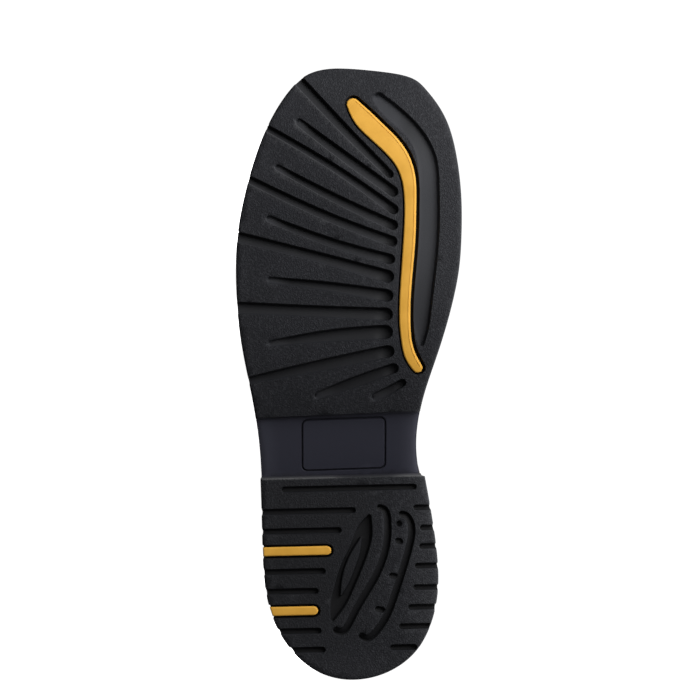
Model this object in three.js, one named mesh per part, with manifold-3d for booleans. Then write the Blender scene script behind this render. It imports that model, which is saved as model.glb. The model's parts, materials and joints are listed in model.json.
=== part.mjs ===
// A pull-on western work boot for the right foot, in millimetres.
// Each piece is shaped in the boot's own frame: x runs forward from the back of the heel, y towards the
// inner side of the foot, and z up from the plane that the tread stands on. The finished boot is then
// laid on its outer side, with the toe towards -X and the tread facing -Y.
import * as THREE from "three";
import { mergeVertices } from "three/addons/utils/BufferGeometryUtils.js";
import Module from "manifold-3d";

const wasm = await Module();
wasm.setup();

// Driving dimensions of the sole
const SOLE_LENGTH = 312;
const BALL_WIDTH = 115;
const HEEL_LENGTH = 103; // back of the heel to its breast
const BREAST_HEIGHT = 19; // tread plane to the shank, at the breast
const HEEL_SEAT = 33; // tread plane to the top of the sole, under the heel
const SOLE_THICKNESS = 10.5; // at the ball
const TOE_SPRING = 12;
const TREAD_BACK = 135; // rear edge of the forefoot tread
const TREAD_BACK_RISE = 8; // how far that edge is lifted off the ground
const TREAD_STEP = 3; // from the forefoot tread up to the shank, at that edge
const FLAT_BACK = 186; // the forefoot is flat from here
const FLAT_FRONT = 246; // to here
const ARCH_LIFT = 5; // how much higher the shank is at its inner edge, at the breast
const HEEL_FLARE = 2.2; // how far the heel's front corner stands out on the inner side
const EDGE_CHAMFER = 0.7;
const SIDE_GROOVE = 1.3; // depth of the line round the sole's side
const SIDE_TOP_INSET = 0.4; // how far the side stands in above that line
const BLOCK_OVERLAP = 1; // how far the heel and the tread reach up into the plate
const RAMP_FRONT = 0.66; // share of the length where the sole's top starts to climb to the heel
const RAMP_BACK = 0.17; // share of the length where it has reached the heel seat
const SPRING_CURVE = 1.8;
const FLARE_START = 0.55; // share of the heel's length where its flare starts

// Tread
const GROOVE_DEPTH = 4; // at the steep wall on the toe side of a forefoot groove
const GROOVE_SHALLOW = 1; // at the heel side, which the groove's floor slopes up to
const HEEL_GROOVE_DEPTH = 3;
const HEEL_GROOVE_WIDTH = 2.9;
const HEEL_SLANT = 1.3; // degrees that the heel's bars lean
const ARC_WIDTH = 1.9;
const ARC_DEPTH = 2;
const PIT_DEPTH = 3;
const CHANNEL_DEPTH = 3;
const INSERT_THICKNESS = 3;
const INSERT_SIDE_GAP = 0.8;
const INSERT_RECESS = 0.15; // the inserts lie this far below the tread
const BAR_WIDTH = 5.2;
const OPEN_REACH = 14; // how far an open groove's cutter goes on past its end
const PAST_EDGE = 0.5; // share across at which a heel groove runs out through the side

// Welt, insole and upper
const WELT_THICKNESS = 4;
const WELT_INSET = 1;
const FEATHER_INSET = 6; // sole edge to the foot of the upper
const WALL = 2.2;
const INSOLE_THICKNESS = 3.5;
const INSTEP_HEIGHT = 116;
const SHAFT_HEIGHT = 290; // tread plane to the collar
const SHAFT_WIDTH = 92;
const FRONT_SCALLOP = 20;
const BACK_SCALLOP = 14;
const OVERLAY_THICKNESS = 1.5;
const OVERLAY_GAP = 0.55; // wide enough for the facets of the bend at the instep
const BINDING_HEIGHT = 3;
const BINDING_OVERHANG = 0.4;
const PIPING_WIDTH = 3.2;
const PIPING_HEIGHT = 1.5;
const STRAP_WIDTH = 30;
const STRAP_THICKNESS = 1.8;
const STRAP_LEG = 48; // below the collar
const STRAP_LOOP = 27; // above the collar
const STRAP_BEND = 8; // inner radius of the loop
const STRAP_JOIN = 3; // above the collar, where the loop is halfway back to the shaft's inner face
const STRAP_LEAN = 12; // degrees that it leans there
const GAP = 0.35; // between pieces that touch

const UPPER_POINTS = 40;
const EDGE_POINTS = 2 * UPPER_POINTS;

const lerp = THREE.MathUtils.lerp;
const clamp = THREE.MathUtils.clamp;
const smooth = THREE.MathUtils.smoothstep;

// Sole outline: along is a share of the length from the heel, the two sides are shares of the ball width.
const OUTLINE = [
  { along: 0.0, outer: -0.015, inner: 0.015 },
  { along: 0.0196, outer: 0.166, inner: 0.21 },
  { along: 0.0458, outer: 0.246, inner: 0.296 },
  { along: 0.085, outer: 0.316, inner: 0.358 },
  { along: 0.1503, outer: 0.368, inner: 0.396 },
  { along: 0.2026, outer: 0.379, inner: 0.391 },
  { along: 0.268, outer: 0.384, inner: 0.356 },
  { along: 0.3235, outer: 0.389, inner: 0.322 },
  { along: 0.3758, outer: 0.397, inner: 0.303 },
  { along: 0.4248, outer: 0.413, inner: 0.312 },
  { along: 0.4739, outer: 0.436, inner: 0.343 },
  { along: 0.5229, outer: 0.462, inner: 0.387 },
  { along: 0.5719, outer: 0.483, inner: 0.429 },
  { along: 0.6209, outer: 0.494, inner: 0.464 },
  { along: 0.6699, outer: 0.498, inner: 0.489 },
  { along: 0.719, outer: 0.492, inner: 0.499 },
  { along: 0.7843, outer: 0.462, inner: 0.499 },
  { along: 0.8497, outer: 0.414, inner: 0.48 },
  { along: 0.915, outer: 0.343, inner: 0.432 },
  { along: 0.9673, outer: 0.252, inner: 0.338 },
  { along: 0.9902, outer: 0.179, inner: 0.222 },
  { along: 0.9967, outer: 0.13, inner: 0.094 },
  { along: 1.0, outer: 0.049, inner: -0.049 },
];

// Steps of the sole's side, from the shank's level up: share of the height, and how far in.
const SIDE_STEPS = [
  { height: 0.0, inset: 0 },
  { height: 0.42, inset: 0 },
  { height: 0.5, inset: SIDE_GROOVE },
  { height: 0.66, inset: SIDE_GROOVE },
  { height: 0.72, inset: SIDE_TOP_INSET },
  { height: 1.0, inset: SIDE_TOP_INSET },
];

// Forefoot grooves, from outer end over the middle to inner end: along is a share of the sole's length,
// across and width are shares of the ball width. An open groove runs out through the side.
const FOREFOOT_GROOVES = [
  { open: true, along: [0.976, 0.891, 0.819], across: [-0.214, 0, 0.194], width: [0.048, 0.044, 0.035] },
  { open: false, along: [0.913, 0.865, 0.79], across: [-0.232, -0.062, 0.216], width: [0.035, 0.044, 0.047] },
  { open: true, along: [0.898, 0.828, 0.761], across: [-0.353, -0.038, 0.217], width: [0.031, 0.035, 0.045] },
  { open: false, along: [0.837, 0.779, 0.737], across: [-0.325, -0.029, 0.217], width: [0.027, 0.04, 0.045] },
  { open: true, along: [0.814, 0.752, 0.711], across: [-0.435, -0.075, 0.215], width: [0.035, 0.04, 0.047] },
  { open: false, along: [0.753, 0.708, 0.683], across: [-0.365, -0.038, 0.205], width: [0.031, 0.04, 0.047] },
  { open: true, along: [0.721, 0.694, 0.654], across: [-0.484, -0.188, 0.201], width: [0.046, 0.044, 0.058] },
  { open: false, along: [0.652, 0.639, 0.624], across: [-0.361, -0.06, 0.198], width: [0.027, 0.044, 0.057] },
  { open: true, along: [0.606, 0.601, 0.595], across: [-0.481, -0.188, 0.196], width: [0.053, 0.051, 0.058] },
  { open: false, along: [0.547, 0.561, 0.567], across: [-0.356, -0.069, 0.196], width: [0.027, 0.055, 0.063] },
  { open: true, along: [0.489, 0.515, 0.537], across: [-0.425, -0.084, 0.202], width: [0.033, 0.053, 0.055] },
  { open: false, along: [0.461, 0.482, 0.51], across: [-0.153, 0.007, 0.22], width: [0.031, 0.049, 0.044] },
  { open: false, along: [0.458, 0.471, 0.487], across: [0.1, 0.179, 0.252], width: [0.035, 0.04, 0.031] },
];

// A band's closed end narrows over two stations: how far on each lies and how wide it is, as shares of
// half the band's width.
const END_STATIONS = [
  { on: 0.7, part: 0.7 },
  { on: 1.0, part: 0.12 },
];

// Long curved forms of the tread, in the same shares.
const STRIP = [
  { along: 0.943, across: 0.018, width: 0.044 },
  { along: 0.917, across: 0.066, width: 0.084 },
  { along: 0.894, across: 0.126, width: 0.088 },
  { along: 0.871, across: 0.188, width: 0.084 },
  { along: 0.845, across: 0.239, width: 0.073 },
  { along: 0.817, across: 0.265, width: 0.062 },
  { along: 0.781, across: 0.273, width: 0.053 },
  { along: 0.708, across: 0.267, width: 0.053 },
  { along: 0.634, across: 0.252, width: 0.049 },
  { along: 0.575, across: 0.25, width: 0.048 },
  { along: 0.546, across: 0.259, width: 0.047 },
  { along: 0.528, across: 0.276, width: 0.046 },
  { along: 0.504, across: 0.319, width: 0.035 },
];
const CHANNEL = [
  { along: 0.953, across: 0.122, width: 0.022 },
  { along: 0.93, across: 0.181, width: 0.066 },
  { along: 0.892, across: 0.289, width: 0.071 },
  { along: 0.849, across: 0.345, width: 0.084 },
  { along: 0.809, across: 0.355, width: 0.088 },
  { along: 0.744, across: 0.355, width: 0.091 },
  { along: 0.642, across: 0.333, width: 0.088 },
  { along: 0.598, across: 0.322, width: 0.081 },
  { along: 0.574, across: 0.32, width: 0.067 },
  { along: 0.545, across: 0.321, width: 0.02 },
];
const PIT = [
  { along: 0.268, across: 0.093, width: 0.013 },
  { along: 0.247, across: 0.073, width: 0.066 },
  { along: 0.216, across: 0.049, width: 0.084 },
  { along: 0.183, across: 0.011, width: 0.093 },
  { along: 0.15, across: -0.022, width: 0.084 },
  { along: 0.121, across: -0.051, width: 0.062 },
  { along: 0.096, across: -0.073, width: 0.013 },
];
const LEAF = [
  { along: 0.232, across: 0.055, width: 0.009 },
  { along: 0.209, across: 0.033, width: 0.04 },
  { along: 0.185, across: 0.007, width: 0.049 },
  { along: 0.16, across: -0.015, width: 0.04 },
  { along: 0.137, across: -0.035, width: 0.009 },
];
const ARCS = [
  [
    { along: 0.283, across: 0.122 },
    { along: 0.278, across: 0.162 },
    { along: 0.259, across: 0.177 },
    { along: 0.216, across: 0.17 },
    { along: 0.177, across: 0.135 },
    { along: 0.101, across: 0.019 },
    { along: 0.077, across: -0.033 },
    { along: 0.082, across: -0.073 },
  ],
  [
    { along: 0.271, across: 0.219 },
    { along: 0.27, across: 0.252 },
    { along: 0.257, across: 0.278 },
    { along: 0.221, across: 0.275 },
    { along: 0.144, across: 0.213 },
    { along: 0.074, across: 0.116 },
    { along: 0.066, across: 0.084 },
    { along: 0.074, across: 0.041 },
  ],
];

// Straight heel grooves: along at their middle line, and the ends across.
const HEEL_GROOVES = [
  { along: 0.312, from: -0.297, to: 0.3 },
  { along: 0.276, from: -PAST_EDGE, to: 0.031 },
  { along: 0.244, from: -PAST_EDGE, to: -0.031 },
  { along: 0.178, from: -PAST_EDGE, to: -0.102 },
  { along: 0.146, from: -PAST_EDGE, to: -0.133 },
  { along: 0.081, from: -PAST_EDGE, to: -0.12 },
  { along: 0.05, from: -PAST_EDGE, to: -0.102 },
  { along: 0.278, from: 0.285, to: PAST_EDGE },
  { along: 0.245, from: 0.314, to: PAST_EDGE },
  { along: 0.215, from: 0.311, to: PAST_EDGE },
  { along: 0.183, from: 0.292, to: PAST_EDGE },
  { along: 0.148, from: 0.285, to: PAST_EDGE },
  { along: 0.116, from: 0.263, to: PAST_EDGE },
  { along: 0.085, from: 0.222, to: 0.365 },
  { along: 0.051, from: 0.183, to: 0.303 },
];
const HEEL_BARS = [
  { name: "heel_insert_front", along: 0.2115, to: -0.073 },
  { name: "heel_insert_rear", along: 0.114, to: -0.131 },
];

// Rings of the upper, from the sole to the collar. front and back place a ring's two ends along the foot,
// as shares of the length between the feather lines. An end's rise is 0 at the sole, 1 at the instep's
// height and 2 at the collar. heel and fore scale the ring's width, and follow says how far it keeps the
// outline of the sole, where the shaft's oval takes over.
const OVER_WELT = (WELT_THICKNESS + 3 * GAP) / (INSTEP_HEIGHT - HEEL_SEAT);
const UPPER_RINGS = [
  { front: 1.0, frontUp: 0.0, back: 0.0, backUp: 0.0, heel: 1.0, fore: 1.0, follow: 1.0 },
  { front: 1.0, frontUp: OVER_WELT, back: 0.0, backUp: OVER_WELT, heel: 1.0, fore: 1.0, follow: 1.0 },
  { front: 1.004, frontUp: 0.15, back: -0.005, backUp: 0.17, heel: 1.01, fore: 1.01, follow: 1.0 },
  { front: 1.0, frontUp: 0.26, back: -0.008, backUp: 0.29, heel: 0.99, fore: 0.99, follow: 0.98 },
  { front: 0.974, frontUp: 0.365, back: -0.008, backUp: 0.4, heel: 0.96, fore: 0.93, follow: 0.95 },
  { front: 0.92, frontUp: 0.43, back: -0.004, backUp: 0.5, heel: 0.92, fore: 0.84, follow: 0.88 },
  { front: 0.84, frontUp: 0.5, back: 0.003, backUp: 0.6, heel: 0.89, fore: 0.77, follow: 0.78 },
  { front: 0.75, frontUp: 0.6, back: 0.01, backUp: 0.72, heel: 0.87, fore: 0.74, follow: 0.65 },
  { front: 0.66, frontUp: 0.74, back: 0.018, backUp: 0.86, heel: 0.85, fore: 0.74, follow: 0.5 },
  { front: 0.575, frontUp: 0.91, back: 0.025, backUp: 1.0, heel: 0.84, fore: 0.76, follow: 0.32 },
  { front: 0.505, frontUp: 1.08, back: 0.027, backUp: 1.11, heel: 0.85, fore: 0.82, follow: 0.16 },
  { front: 0.459, frontUp: 1.26, back: 0.022, backUp: 1.27, heel: 0.88, fore: 0.87, follow: 0.05 },
  { front: 0.438, frontUp: 1.49, back: 0.005, backUp: 1.49, heel: 0.92, fore: 0.92, follow: 0.0 },
  { front: 0.438, frontUp: 1.75, back: -0.02, backUp: 1.75, heel: 0.97, fore: 0.97, follow: 0.0 },
  { front: 0.445, frontUp: 2.0, back: -0.037, backUp: 2.0, heel: 1.0, fore: 1.0, follow: 0.0 },
];
const COLLAR_RING = UPPER_RINGS.length - 1;
const RING_LEVELS = [0, 1, 2, 3, 3.5, 4, 4.5, 5, 6, 7, 8, 9, 10, 11, 12, 13, COLLAR_RING];
const OVERLAY_LEVELS = RING_LEVELS.filter((level) => level >= 1 && level <= 12);

// Side view of the two overlays: x is a share of the sole's length and z of the instep's height.
const VAMP_EDGE = [
  [0.318, -0.2],
  [0.317, 0.4],
  [0.315, 0.68],
  [0.335, 0.83],
  [0.38, 0.99],
  [0.42, 1.22],
  [0.448, 1.6],
];
const COUNTER_EDGE = [
  [0.31, -0.2],
  [0.309, 0.4],
  [0.304, 0.66],
  [0.25, 0.77],
  [0.16, 0.84],
  [0.08, 0.92],
  [-0.05, 1.06],
];

const MATERIALS = {
  rubber: new THREE.MeshStandardMaterial({ color: 0x2a2a2c, roughness: 0.75, metalness: 0 }),
  insert: new THREE.MeshStandardMaterial({ color: 0xe0a63c, roughness: 0.6, metalness: 0 }),
  welt: new THREE.MeshStandardMaterial({ color: 0x8a6237, roughness: 0.7, metalness: 0 }),
  insole: new THREE.MeshStandardMaterial({ color: 0xb48d5d, roughness: 0.85, metalness: 0 }),
  shaft: new THREE.MeshStandardMaterial({ color: 0x6d4326, roughness: 0.65, metalness: 0 }),
  foot: new THREE.MeshStandardMaterial({ color: 0x5a3620, roughness: 0.6, metalness: 0 }),
  trim: new THREE.MeshStandardMaterial({ color: 0x3d2618, roughness: 0.6, metalness: 0 }),
};

// Cubic spline through all the values, with no curvature at its ends.
function spline(knots, values) {
  const last = knots.length - 1;
  const bend = new Array(last + 1).fill(0);
  const carry = new Array(last + 1).fill(0);
  for (let i = 1; i < last; i++) {
    const before = knots[i] - knots[i - 1];
    const after = knots[i + 1] - knots[i];
    const slopes = (values[i + 1] - values[i]) / after - (values[i] - values[i - 1]) / before;
    const pivot = 2 * (before + after) - before * carry[i - 1];
    carry[i] = after / pivot;
    bend[i] = (6 * slopes - before * bend[i - 1]) / pivot;
  }
  for (let i = last - 1; i > 0; i--) bend[i] -= carry[i] * bend[i + 1];
  return (at) => {
    let i = 0;
    while (i < last - 1 && at > knots[i + 1]) i++;
    const span = knots[i + 1] - knots[i];
    const right = clamp((at - knots[i]) / span, 0, 1);
    const left = 1 - right;
    const curve = (left ** 3 - left) * bend[i] + (right ** 3 - right) * bend[i + 1];
    return left * values[i] + right * values[i + 1] + (curve * span * span) / 6;
  };
}

// A solid from points and triangles, turned so that its faces point out.
function solidOf(points, faces) {
  let volume = 0;
  for (const [a, b, c] of faces) volume += points[a].dot(points[b].clone().cross(points[c]));
  const geometry = new THREE.BufferGeometry();
  geometry.setAttribute("position", new THREE.Float32BufferAttribute(points.flatMap((p) => [p.x, p.y, p.z]), 3));
  geometry.setIndex(faces.flatMap(([a, b, c]) => (volume < 0 ? [a, c, b] : [a, b, c])));
  return manifoldOf(geometry);
}

function manifoldOf(geometry) {
  const bare = geometry.clone();
  bare.deleteAttribute("normal");
  bare.deleteAttribute("uv");
  const merged = mergeVertices(bare, 1e-4);
  const mesh = new wasm.Mesh({
    numProp: 3,
    vertProperties: merged.attributes.position.array,
    triVerts: new Uint32Array(merged.index.array),
  });
  return new wasm.Manifold(mesh);
}

// Skin over rings of as many points each. Unless the rings close on themselves, the first and the last
// are filled by a strip that runs from point 0 to the one opposite.
function loft(rings, closed = false) {
  const count = rings[0].length;
  const half = count / 2;
  const faces = [];
  const joined = closed ? rings.length : rings.length - 1;
  for (let i = 0; i < joined; i++) {
    const here = i * count;
    const next = ((i + 1) % rings.length) * count;
    for (let j = 0; j < count; j++) {
      const k = (j + 1) % count;
      faces.push([here + j, here + k, next + k], [here + j, next + k, next + j]);
    }
  }
  if (!closed) {
    const end = (rings.length - 1) * count;
    for (let j = 0; j < half; j++) {
      const across = (count - j) % count;
      const quad = [];
      if (j < half - 1) quad.push([j, j + 1, count - j - 1]);
      else quad.push([j, j + 1, across]);
      if (j > 0 && j < half - 1) quad.push([j, count - j - 1, across]);
      for (const [a, b, c] of quad) faces.push([b, a, c], [end + a, end + b, end + c]);
    }
  }
  return solidOf(rings.flat(), faces);
}

// A closed flat outline in the side view, as a wall right through the boot.
function sideCutter(points) {
  const shape = new THREE.Shape(points.map(([x, z]) => new THREE.Vector2(x, z)));
  const geometry = new THREE.ExtrudeGeometry(shape, { depth: 2 * BALL_WIDTH, bevelEnabled: false });
  geometry.rotateX(Math.PI / 2);
  geometry.translate(0, BALL_WIDTH, 0);
  return manifoldOf(geometry);
}

// Heights of the sole, over the tread plane.
function springAt(x) {
  return TOE_SPRING * Math.max(0, (x - FLAT_FRONT) / (SOLE_LENGTH - FLAT_FRONT)) ** SPRING_CURVE;
}
function treadAt(x) {
  return springAt(x) + TREAD_BACK_RISE * Math.max(0, (FLAT_BACK - x) / (FLAT_BACK - TREAD_BACK)) ** 2;
}
function shankAt(x, y) {
  const forward = clamp((x - HEEL_LENGTH) / (TREAD_BACK - HEEL_LENGTH), 0, 1);
  const arch = ARCH_LIFT * (1 - forward) * (y / BALL_WIDTH);
  if (x >= TREAD_BACK) return treadAt(x) + TREAD_STEP;
  return lerp(BREAST_HEIGHT, TREAD_BACK_RISE + TREAD_STEP, forward) + arch;
}
function seatAt(x) {
  const climb = 1 - smooth(x, RAMP_BACK * SOLE_LENGTH, RAMP_FRONT * SOLE_LENGTH);
  return SOLE_THICKNESS + springAt(x) + (HEEL_SEAT - SOLE_THICKNESS) * climb;
}

// The sole's edge at an angle that runs from the back of the heel along the outer side to the toe, at
// half a turn, and back along the inner side, moved in by a distance.
const knots = OUTLINE.map((row) => Math.acos(1 - 2 * row.along));
const outerHalf = spline(knots, OUTLINE.map((row) => row.outer));
const innerHalf = spline(knots, OUTLINE.map((row) => row.inner));
function rawEdge(angle) {
  const turn = ((angle % (2 * Math.PI)) + 2 * Math.PI) % (2 * Math.PI);
  const outer = turn <= Math.PI;
  const part = outer ? turn : 2 * Math.PI - turn;
  const across = outer ? -outerHalf(part) : innerHalf(part);
  return new THREE.Vector2((SOLE_LENGTH * (1 - Math.cos(part))) / 2, BALL_WIDTH * across);
}
function edgeAt(angle, inset) {
  const small = 0.004;
  const along = rawEdge(angle + small).sub(rawEdge(angle - small)).normalize();
  return rawEdge(angle).add(new THREE.Vector2(-along.y, along.x).multiplyScalar(inset));
}
function turns(count) {
  return Array.from({ length: count }, (_, i) => (i * 2 * Math.PI) / count);
}

// A slab with the sole's outline: each layer has an inset and a height that depends on the place.
function slab(layers, count = EDGE_POINTS) {
  return loft(
    layers.map(({ inset, height }) =>
      turns(count).map((angle) => {
        const { x, y } = edgeAt(angle, typeof inset === "function" ? inset(angle) : inset);
        return new THREE.Vector3(x, y, height(x, y));
      }),
    ),
  );
}

const place = (row) => new THREE.Vector3(row.along * SOLE_LENGTH, row.across * BALL_WIDTH, 0);

// Stations along a curved band, each with its two edges. grow widens the band on all sides.
function band(rows, { grow = 0, openStart = false, openEnd = false, spacing = 7 } = {}) {
  const path = new THREE.CatmullRomCurve3(
    rows.map((row) => place(row).setZ(row.width * BALL_WIDTH)),
    false,
    "centripetal",
  );
  const length = path.getLength();
  const [startHalf, endHalf] = [0, 1].map((share) => path.getPointAt(share).z / 2);
  const first = openStart ? 0 : startHalf;
  const last = length - (openEnd ? 0 : endHalf);
  const steps = Math.max(2, Math.round((last - first) / spacing));
  const marks = Array.from({ length: steps + 1 }, (_, i) => ({ at: lerp(first, last, i / steps), part: 1 }));
  const endFrom = (at, reach) => END_STATIONS.map(({ on, part }) => ({ at: at + on * reach, part }));
  if (openStart) marks.unshift({ at: -OPEN_REACH, part: 1 });
  else marks.unshift(...endFrom(first, -(startHalf + grow)).toReversed());
  if (openEnd) marks.push({ at: length + OPEN_REACH, part: 1 });
  else marks.push(...endFrom(last, endHalf + grow));
  return marks.map(({ at, part }) => {
    const share = clamp(at / length, 0, 1);
    const centre = path.getPointAt(share);
    const ahead = path.getTangentAt(share).setZ(0).normalize();
    const half = (centre.z / 2 + grow) * part;
    const middle = centre.clone().setZ(0).addScaledVector(ahead, at - share * length);
    const side = new THREE.Vector3(-ahead.y, ahead.x, 0);
    return {
      left: middle.clone().addScaledVector(side, half),
      right: middle.clone().addScaledVector(side, -half),
    };
  });
}

// A band from one height to another: each height is a function of the place and of the side, 0 or 1.
function bandSolid(stations, low, high) {
  const at = (point, side, height) => point.clone().setZ(height(point.x, side));
  return loft(
    stations.map(({ left, right }) => [
      at(left, 0, low),
      at(right, 1, low),
      at(right, 1, high),
      at(left, 0, high),
    ]),
  );
}
const below = () => -SOLE_THICKNESS;
const cutTo = (stations, depth) => bandSolid(stations, below, (x, side) => treadAt(x) + depth(side));
const heelCutTo = (stations, depth) => bandSolid(stations, below, () => depth);
const grooveDepth = (side) => (side === 0 ? GROOVE_SHALLOW : GROOVE_DEPTH);

function heelRows({ along, from, to }, width) {
  const slant = Math.tan(THREE.MathUtils.degToRad(HEEL_SLANT));
  return [from, to].map((across) => ({
    along: along + (slant * across * BALL_WIDTH) / SOLE_LENGTH,
    across,
    width: width / BALL_WIDTH,
  }));
}

function insertStations(rows, options) {
  return { pocket: band(rows, { ...options, grow: INSERT_SIDE_GAP }), piece: band(rows, options) };
}
const strip = insertStations(STRIP, { spacing: 8 });

// The two heel bars run out through the outer side, where they end just inside the sole's edge.
const heelBars = HEEL_BARS.map(({ name, along, to }) => {
  const edge = outerHalf(Math.acos(1 - 2 * along)) - GAP / BALL_WIDTH;
  const rows = heelRows({ along, from: -edge, to }, BAR_WIDTH);
  const options = { openStart: true, spacing: BALL_WIDTH };
  const { pocket, piece } = insertStations(rows, options);
  return { name, pocket, piece: piece.slice(1) };
});

const walkingFace = (x) => (x < HEEL_LENGTH ? 0 : treadAt(x));
const insertLow = (x) => walkingFace(x) + INSERT_RECESS;
const insertHigh = (x) => insertLow(x) + INSERT_THICKNESS;

// A block between two lines across the sole that lean by some degrees.
function slanted(from, to, degrees) {
  const lean = Math.tan(THREE.MathUtils.degToRad(degrees));
  const corner = (x, y, z) => new THREE.Vector3(x + y * lean, y, z);
  const tall = SHAFT_HEIGHT;
  return loft(
    [-BALL_WIDTH, BALL_WIDTH].map((y) => [
      corner(from, y, -tall),
      corner(to, y, -tall),
      corner(to, y, tall),
      corner(from, y, tall),
    ]),
  );
}

function makeOutsole() {
  const plate = slab(
    SIDE_STEPS.map(({ height, inset }) => ({
      inset,
      height: (x, y) => lerp(shankAt(x, y), seatAt(x), height),
    })),
  );
  const intoPlate = (x, y) => shankAt(x, y) + BLOCK_OVERLAP;
  const flare = (angle) => {
    const onInner = angle > Math.PI;
    const { x } = rawEdge(angle);
    return onInner ? -HEEL_FLARE * smooth(x, HEEL_LENGTH * FLARE_START, HEEL_LENGTH) : 0;
  };
  const heelLayers = [
    { inset: (angle) => flare(angle) + EDGE_CHAMFER, height: () => 0 },
    { inset: flare, height: () => EDGE_CHAMFER },
    { inset: 0, height: intoPlate },
  ];
  const treadLayers = [
    { inset: EDGE_CHAMFER, height: walkingFace },
    { inset: 0, height: (x) => walkingFace(x) + EDGE_CHAMFER },
    { inset: 0, height: intoPlate },
  ];
  const heelSide = slanted(-SOLE_LENGTH, HEEL_LENGTH, HEEL_SLANT);
  const treadSide = slanted(TREAD_BACK, 2 * SOLE_LENGTH, 2 * HEEL_SLANT);
  const heel = slab(heelLayers).intersect(heelSide);
  const tread = slab(treadLayers).intersect(treadSide);
  let outsole = plate.add(heel).add(tread);
  const cutters = [
    ...FOREFOOT_GROOVES.map(({ open, along, across, width }) => {
      const rows = along.map((a, i) => ({ along: a, across: across[i], width: width[i] }));
      return cutTo(band(rows, { openStart: open, spacing: 11 }), grooveDepth);
    }),
    cutTo(strip.pocket, () => INSERT_THICKNESS + INSERT_RECESS + GAP),
    cutTo(band(CHANNEL, { spacing: 9 }), () => CHANNEL_DEPTH),
    ...HEEL_GROOVES.map((groove) => {
      const openStart = groove.from <= -PAST_EDGE;
      const openEnd = groove.to >= PAST_EDGE;
      const rows = heelRows(groove, HEEL_GROOVE_WIDTH);
      return heelCutTo(band(rows, { openStart, openEnd, spacing: BALL_WIDTH }), HEEL_GROOVE_DEPTH);
    }),
    ...heelBars.map(({ pocket }) => heelCutTo(pocket, INSERT_THICKNESS + INSERT_RECESS + GAP)),
    ...ARCS.map((rows) => {
      const sized = rows.map((row) => ({ ...row, width: ARC_WIDTH / BALL_WIDTH }));
      return heelCutTo(band(sized, { spacing: 5 }), ARC_DEPTH);
    }),
    heelCutTo(band(PIT, { spacing: 6 }), PIT_DEPTH).subtract(heelCutTo(band(LEAF), 2 * PIT_DEPTH)),
  ];
  for (const cutter of cutters) outsole = outsole.subtract(cutter);
  return outsole;
}

// The upper's outer face at a ring level and an angle.
const ringOf = Object.fromEntries(
  Object.keys(UPPER_RINGS[0]).map((column) => [
    column,
    spline(UPPER_RINGS.map((_, i) => i), UPPER_RINGS.map((row) => row[column])),
  ]),
);
function riseOf(up, x) {
  if (up <= 1) return lerp(seatAt(x) + GAP, INSTEP_HEIGHT, up);
  return lerp(INSTEP_HEIGHT, SHAFT_HEIGHT, up - 1);
}
function upperPoint(level, angle) {
  const follow = ringOf.follow(level);
  const foot = edgeAt(angle, FEATHER_INSET);
  const span = SOLE_LENGTH - 2 * FEATHER_INSET;
  const back = FEATHER_INSET + span * ringOf.back(level);
  const front = FEATHER_INSET + span * ringOf.front(level);
  const share = lerp((1 - Math.cos(angle)) / 2, (foot.x - FEATHER_INSET) / span, follow);
  const x = lerp(back, front, share);
  const oval = (-Math.sin(angle) * SHAFT_WIDTH) / 2;
  const spread = lerp(ringOf.heel(level), ringOf.fore(level), smooth(share, 0.15, 0.75));
  const y = lerp(oval, foot.y, follow) * spread;
  const backUp = riseOf(ringOf.backUp(level), back);
  const frontUp = riseOf(ringOf.frontUp(level), front);
  const straight = lerp(backUp, frontUp, share);
  const draped = seatAt(x) + lerp(backUp - seatAt(back), frontUp - seatAt(front), share);
  const nearCollar = smooth(level, COLLAR_RING - 2.5, COLLAR_RING);
  const frontDip = FRONT_SCALLOP * Math.max(0, -Math.cos(angle)) ** 5;
  const backDip = BACK_SCALLOP * Math.max(0, Math.cos(angle)) ** 5;
  const z = lerp(straight, draped, follow) - nearCollar * (frontDip + backDip);
  return new THREE.Vector3(x, y, z);
}
function upperNormal(level, angle) {
  const small = 0.02;
  const low = clamp(level - small, 0, COLLAR_RING);
  const high = clamp(level + small, 0, COLLAR_RING);
  const up = upperPoint(high, angle).sub(upperPoint(low, angle));
  const round = upperPoint(level, angle + small).sub(upperPoint(level, angle - small));
  return round.cross(up).normalize();
}
function offUpper(level, angle, distance) {
  return upperPoint(level, angle).addScaledVector(upperNormal(level, angle), distance);
}

function ringLength(level) {
  return upperPoint(level, Math.PI).x - upperPoint(level, 0).x;
}

// A shell over the upper's face, between two distances from it and over some of its levels.
function upperShell(levels, inside, outside) {
  return loft(
    turns(UPPER_POINTS).map((angle) => [
      ...levels.map((level) => offUpper(level, angle, outside)),
      ...levels.toReversed().map((level) => offUpper(level, angle, inside)),
    ]),
    true,
  );
}

function makeOverlay(edge, beyond) {
  const curve = new THREE.SplineCurve(
    edge.map(([x, z]) => new THREE.Vector2(x * SOLE_LENGTH, z * INSTEP_HEIGHT)),
  );
  const line = curve.getPoints(18).map(({ x, y }) => [x, y]);
  const low = [beyond, line[0][1]];
  const high = [beyond, line[line.length - 1][1]];
  const skin = upperShell(OVERLAY_LEVELS, OVERLAY_GAP, OVERLAY_GAP + OVERLAY_THICKNESS);
  return skin.intersect(sideCutter([...line, high, low]));
}

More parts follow.
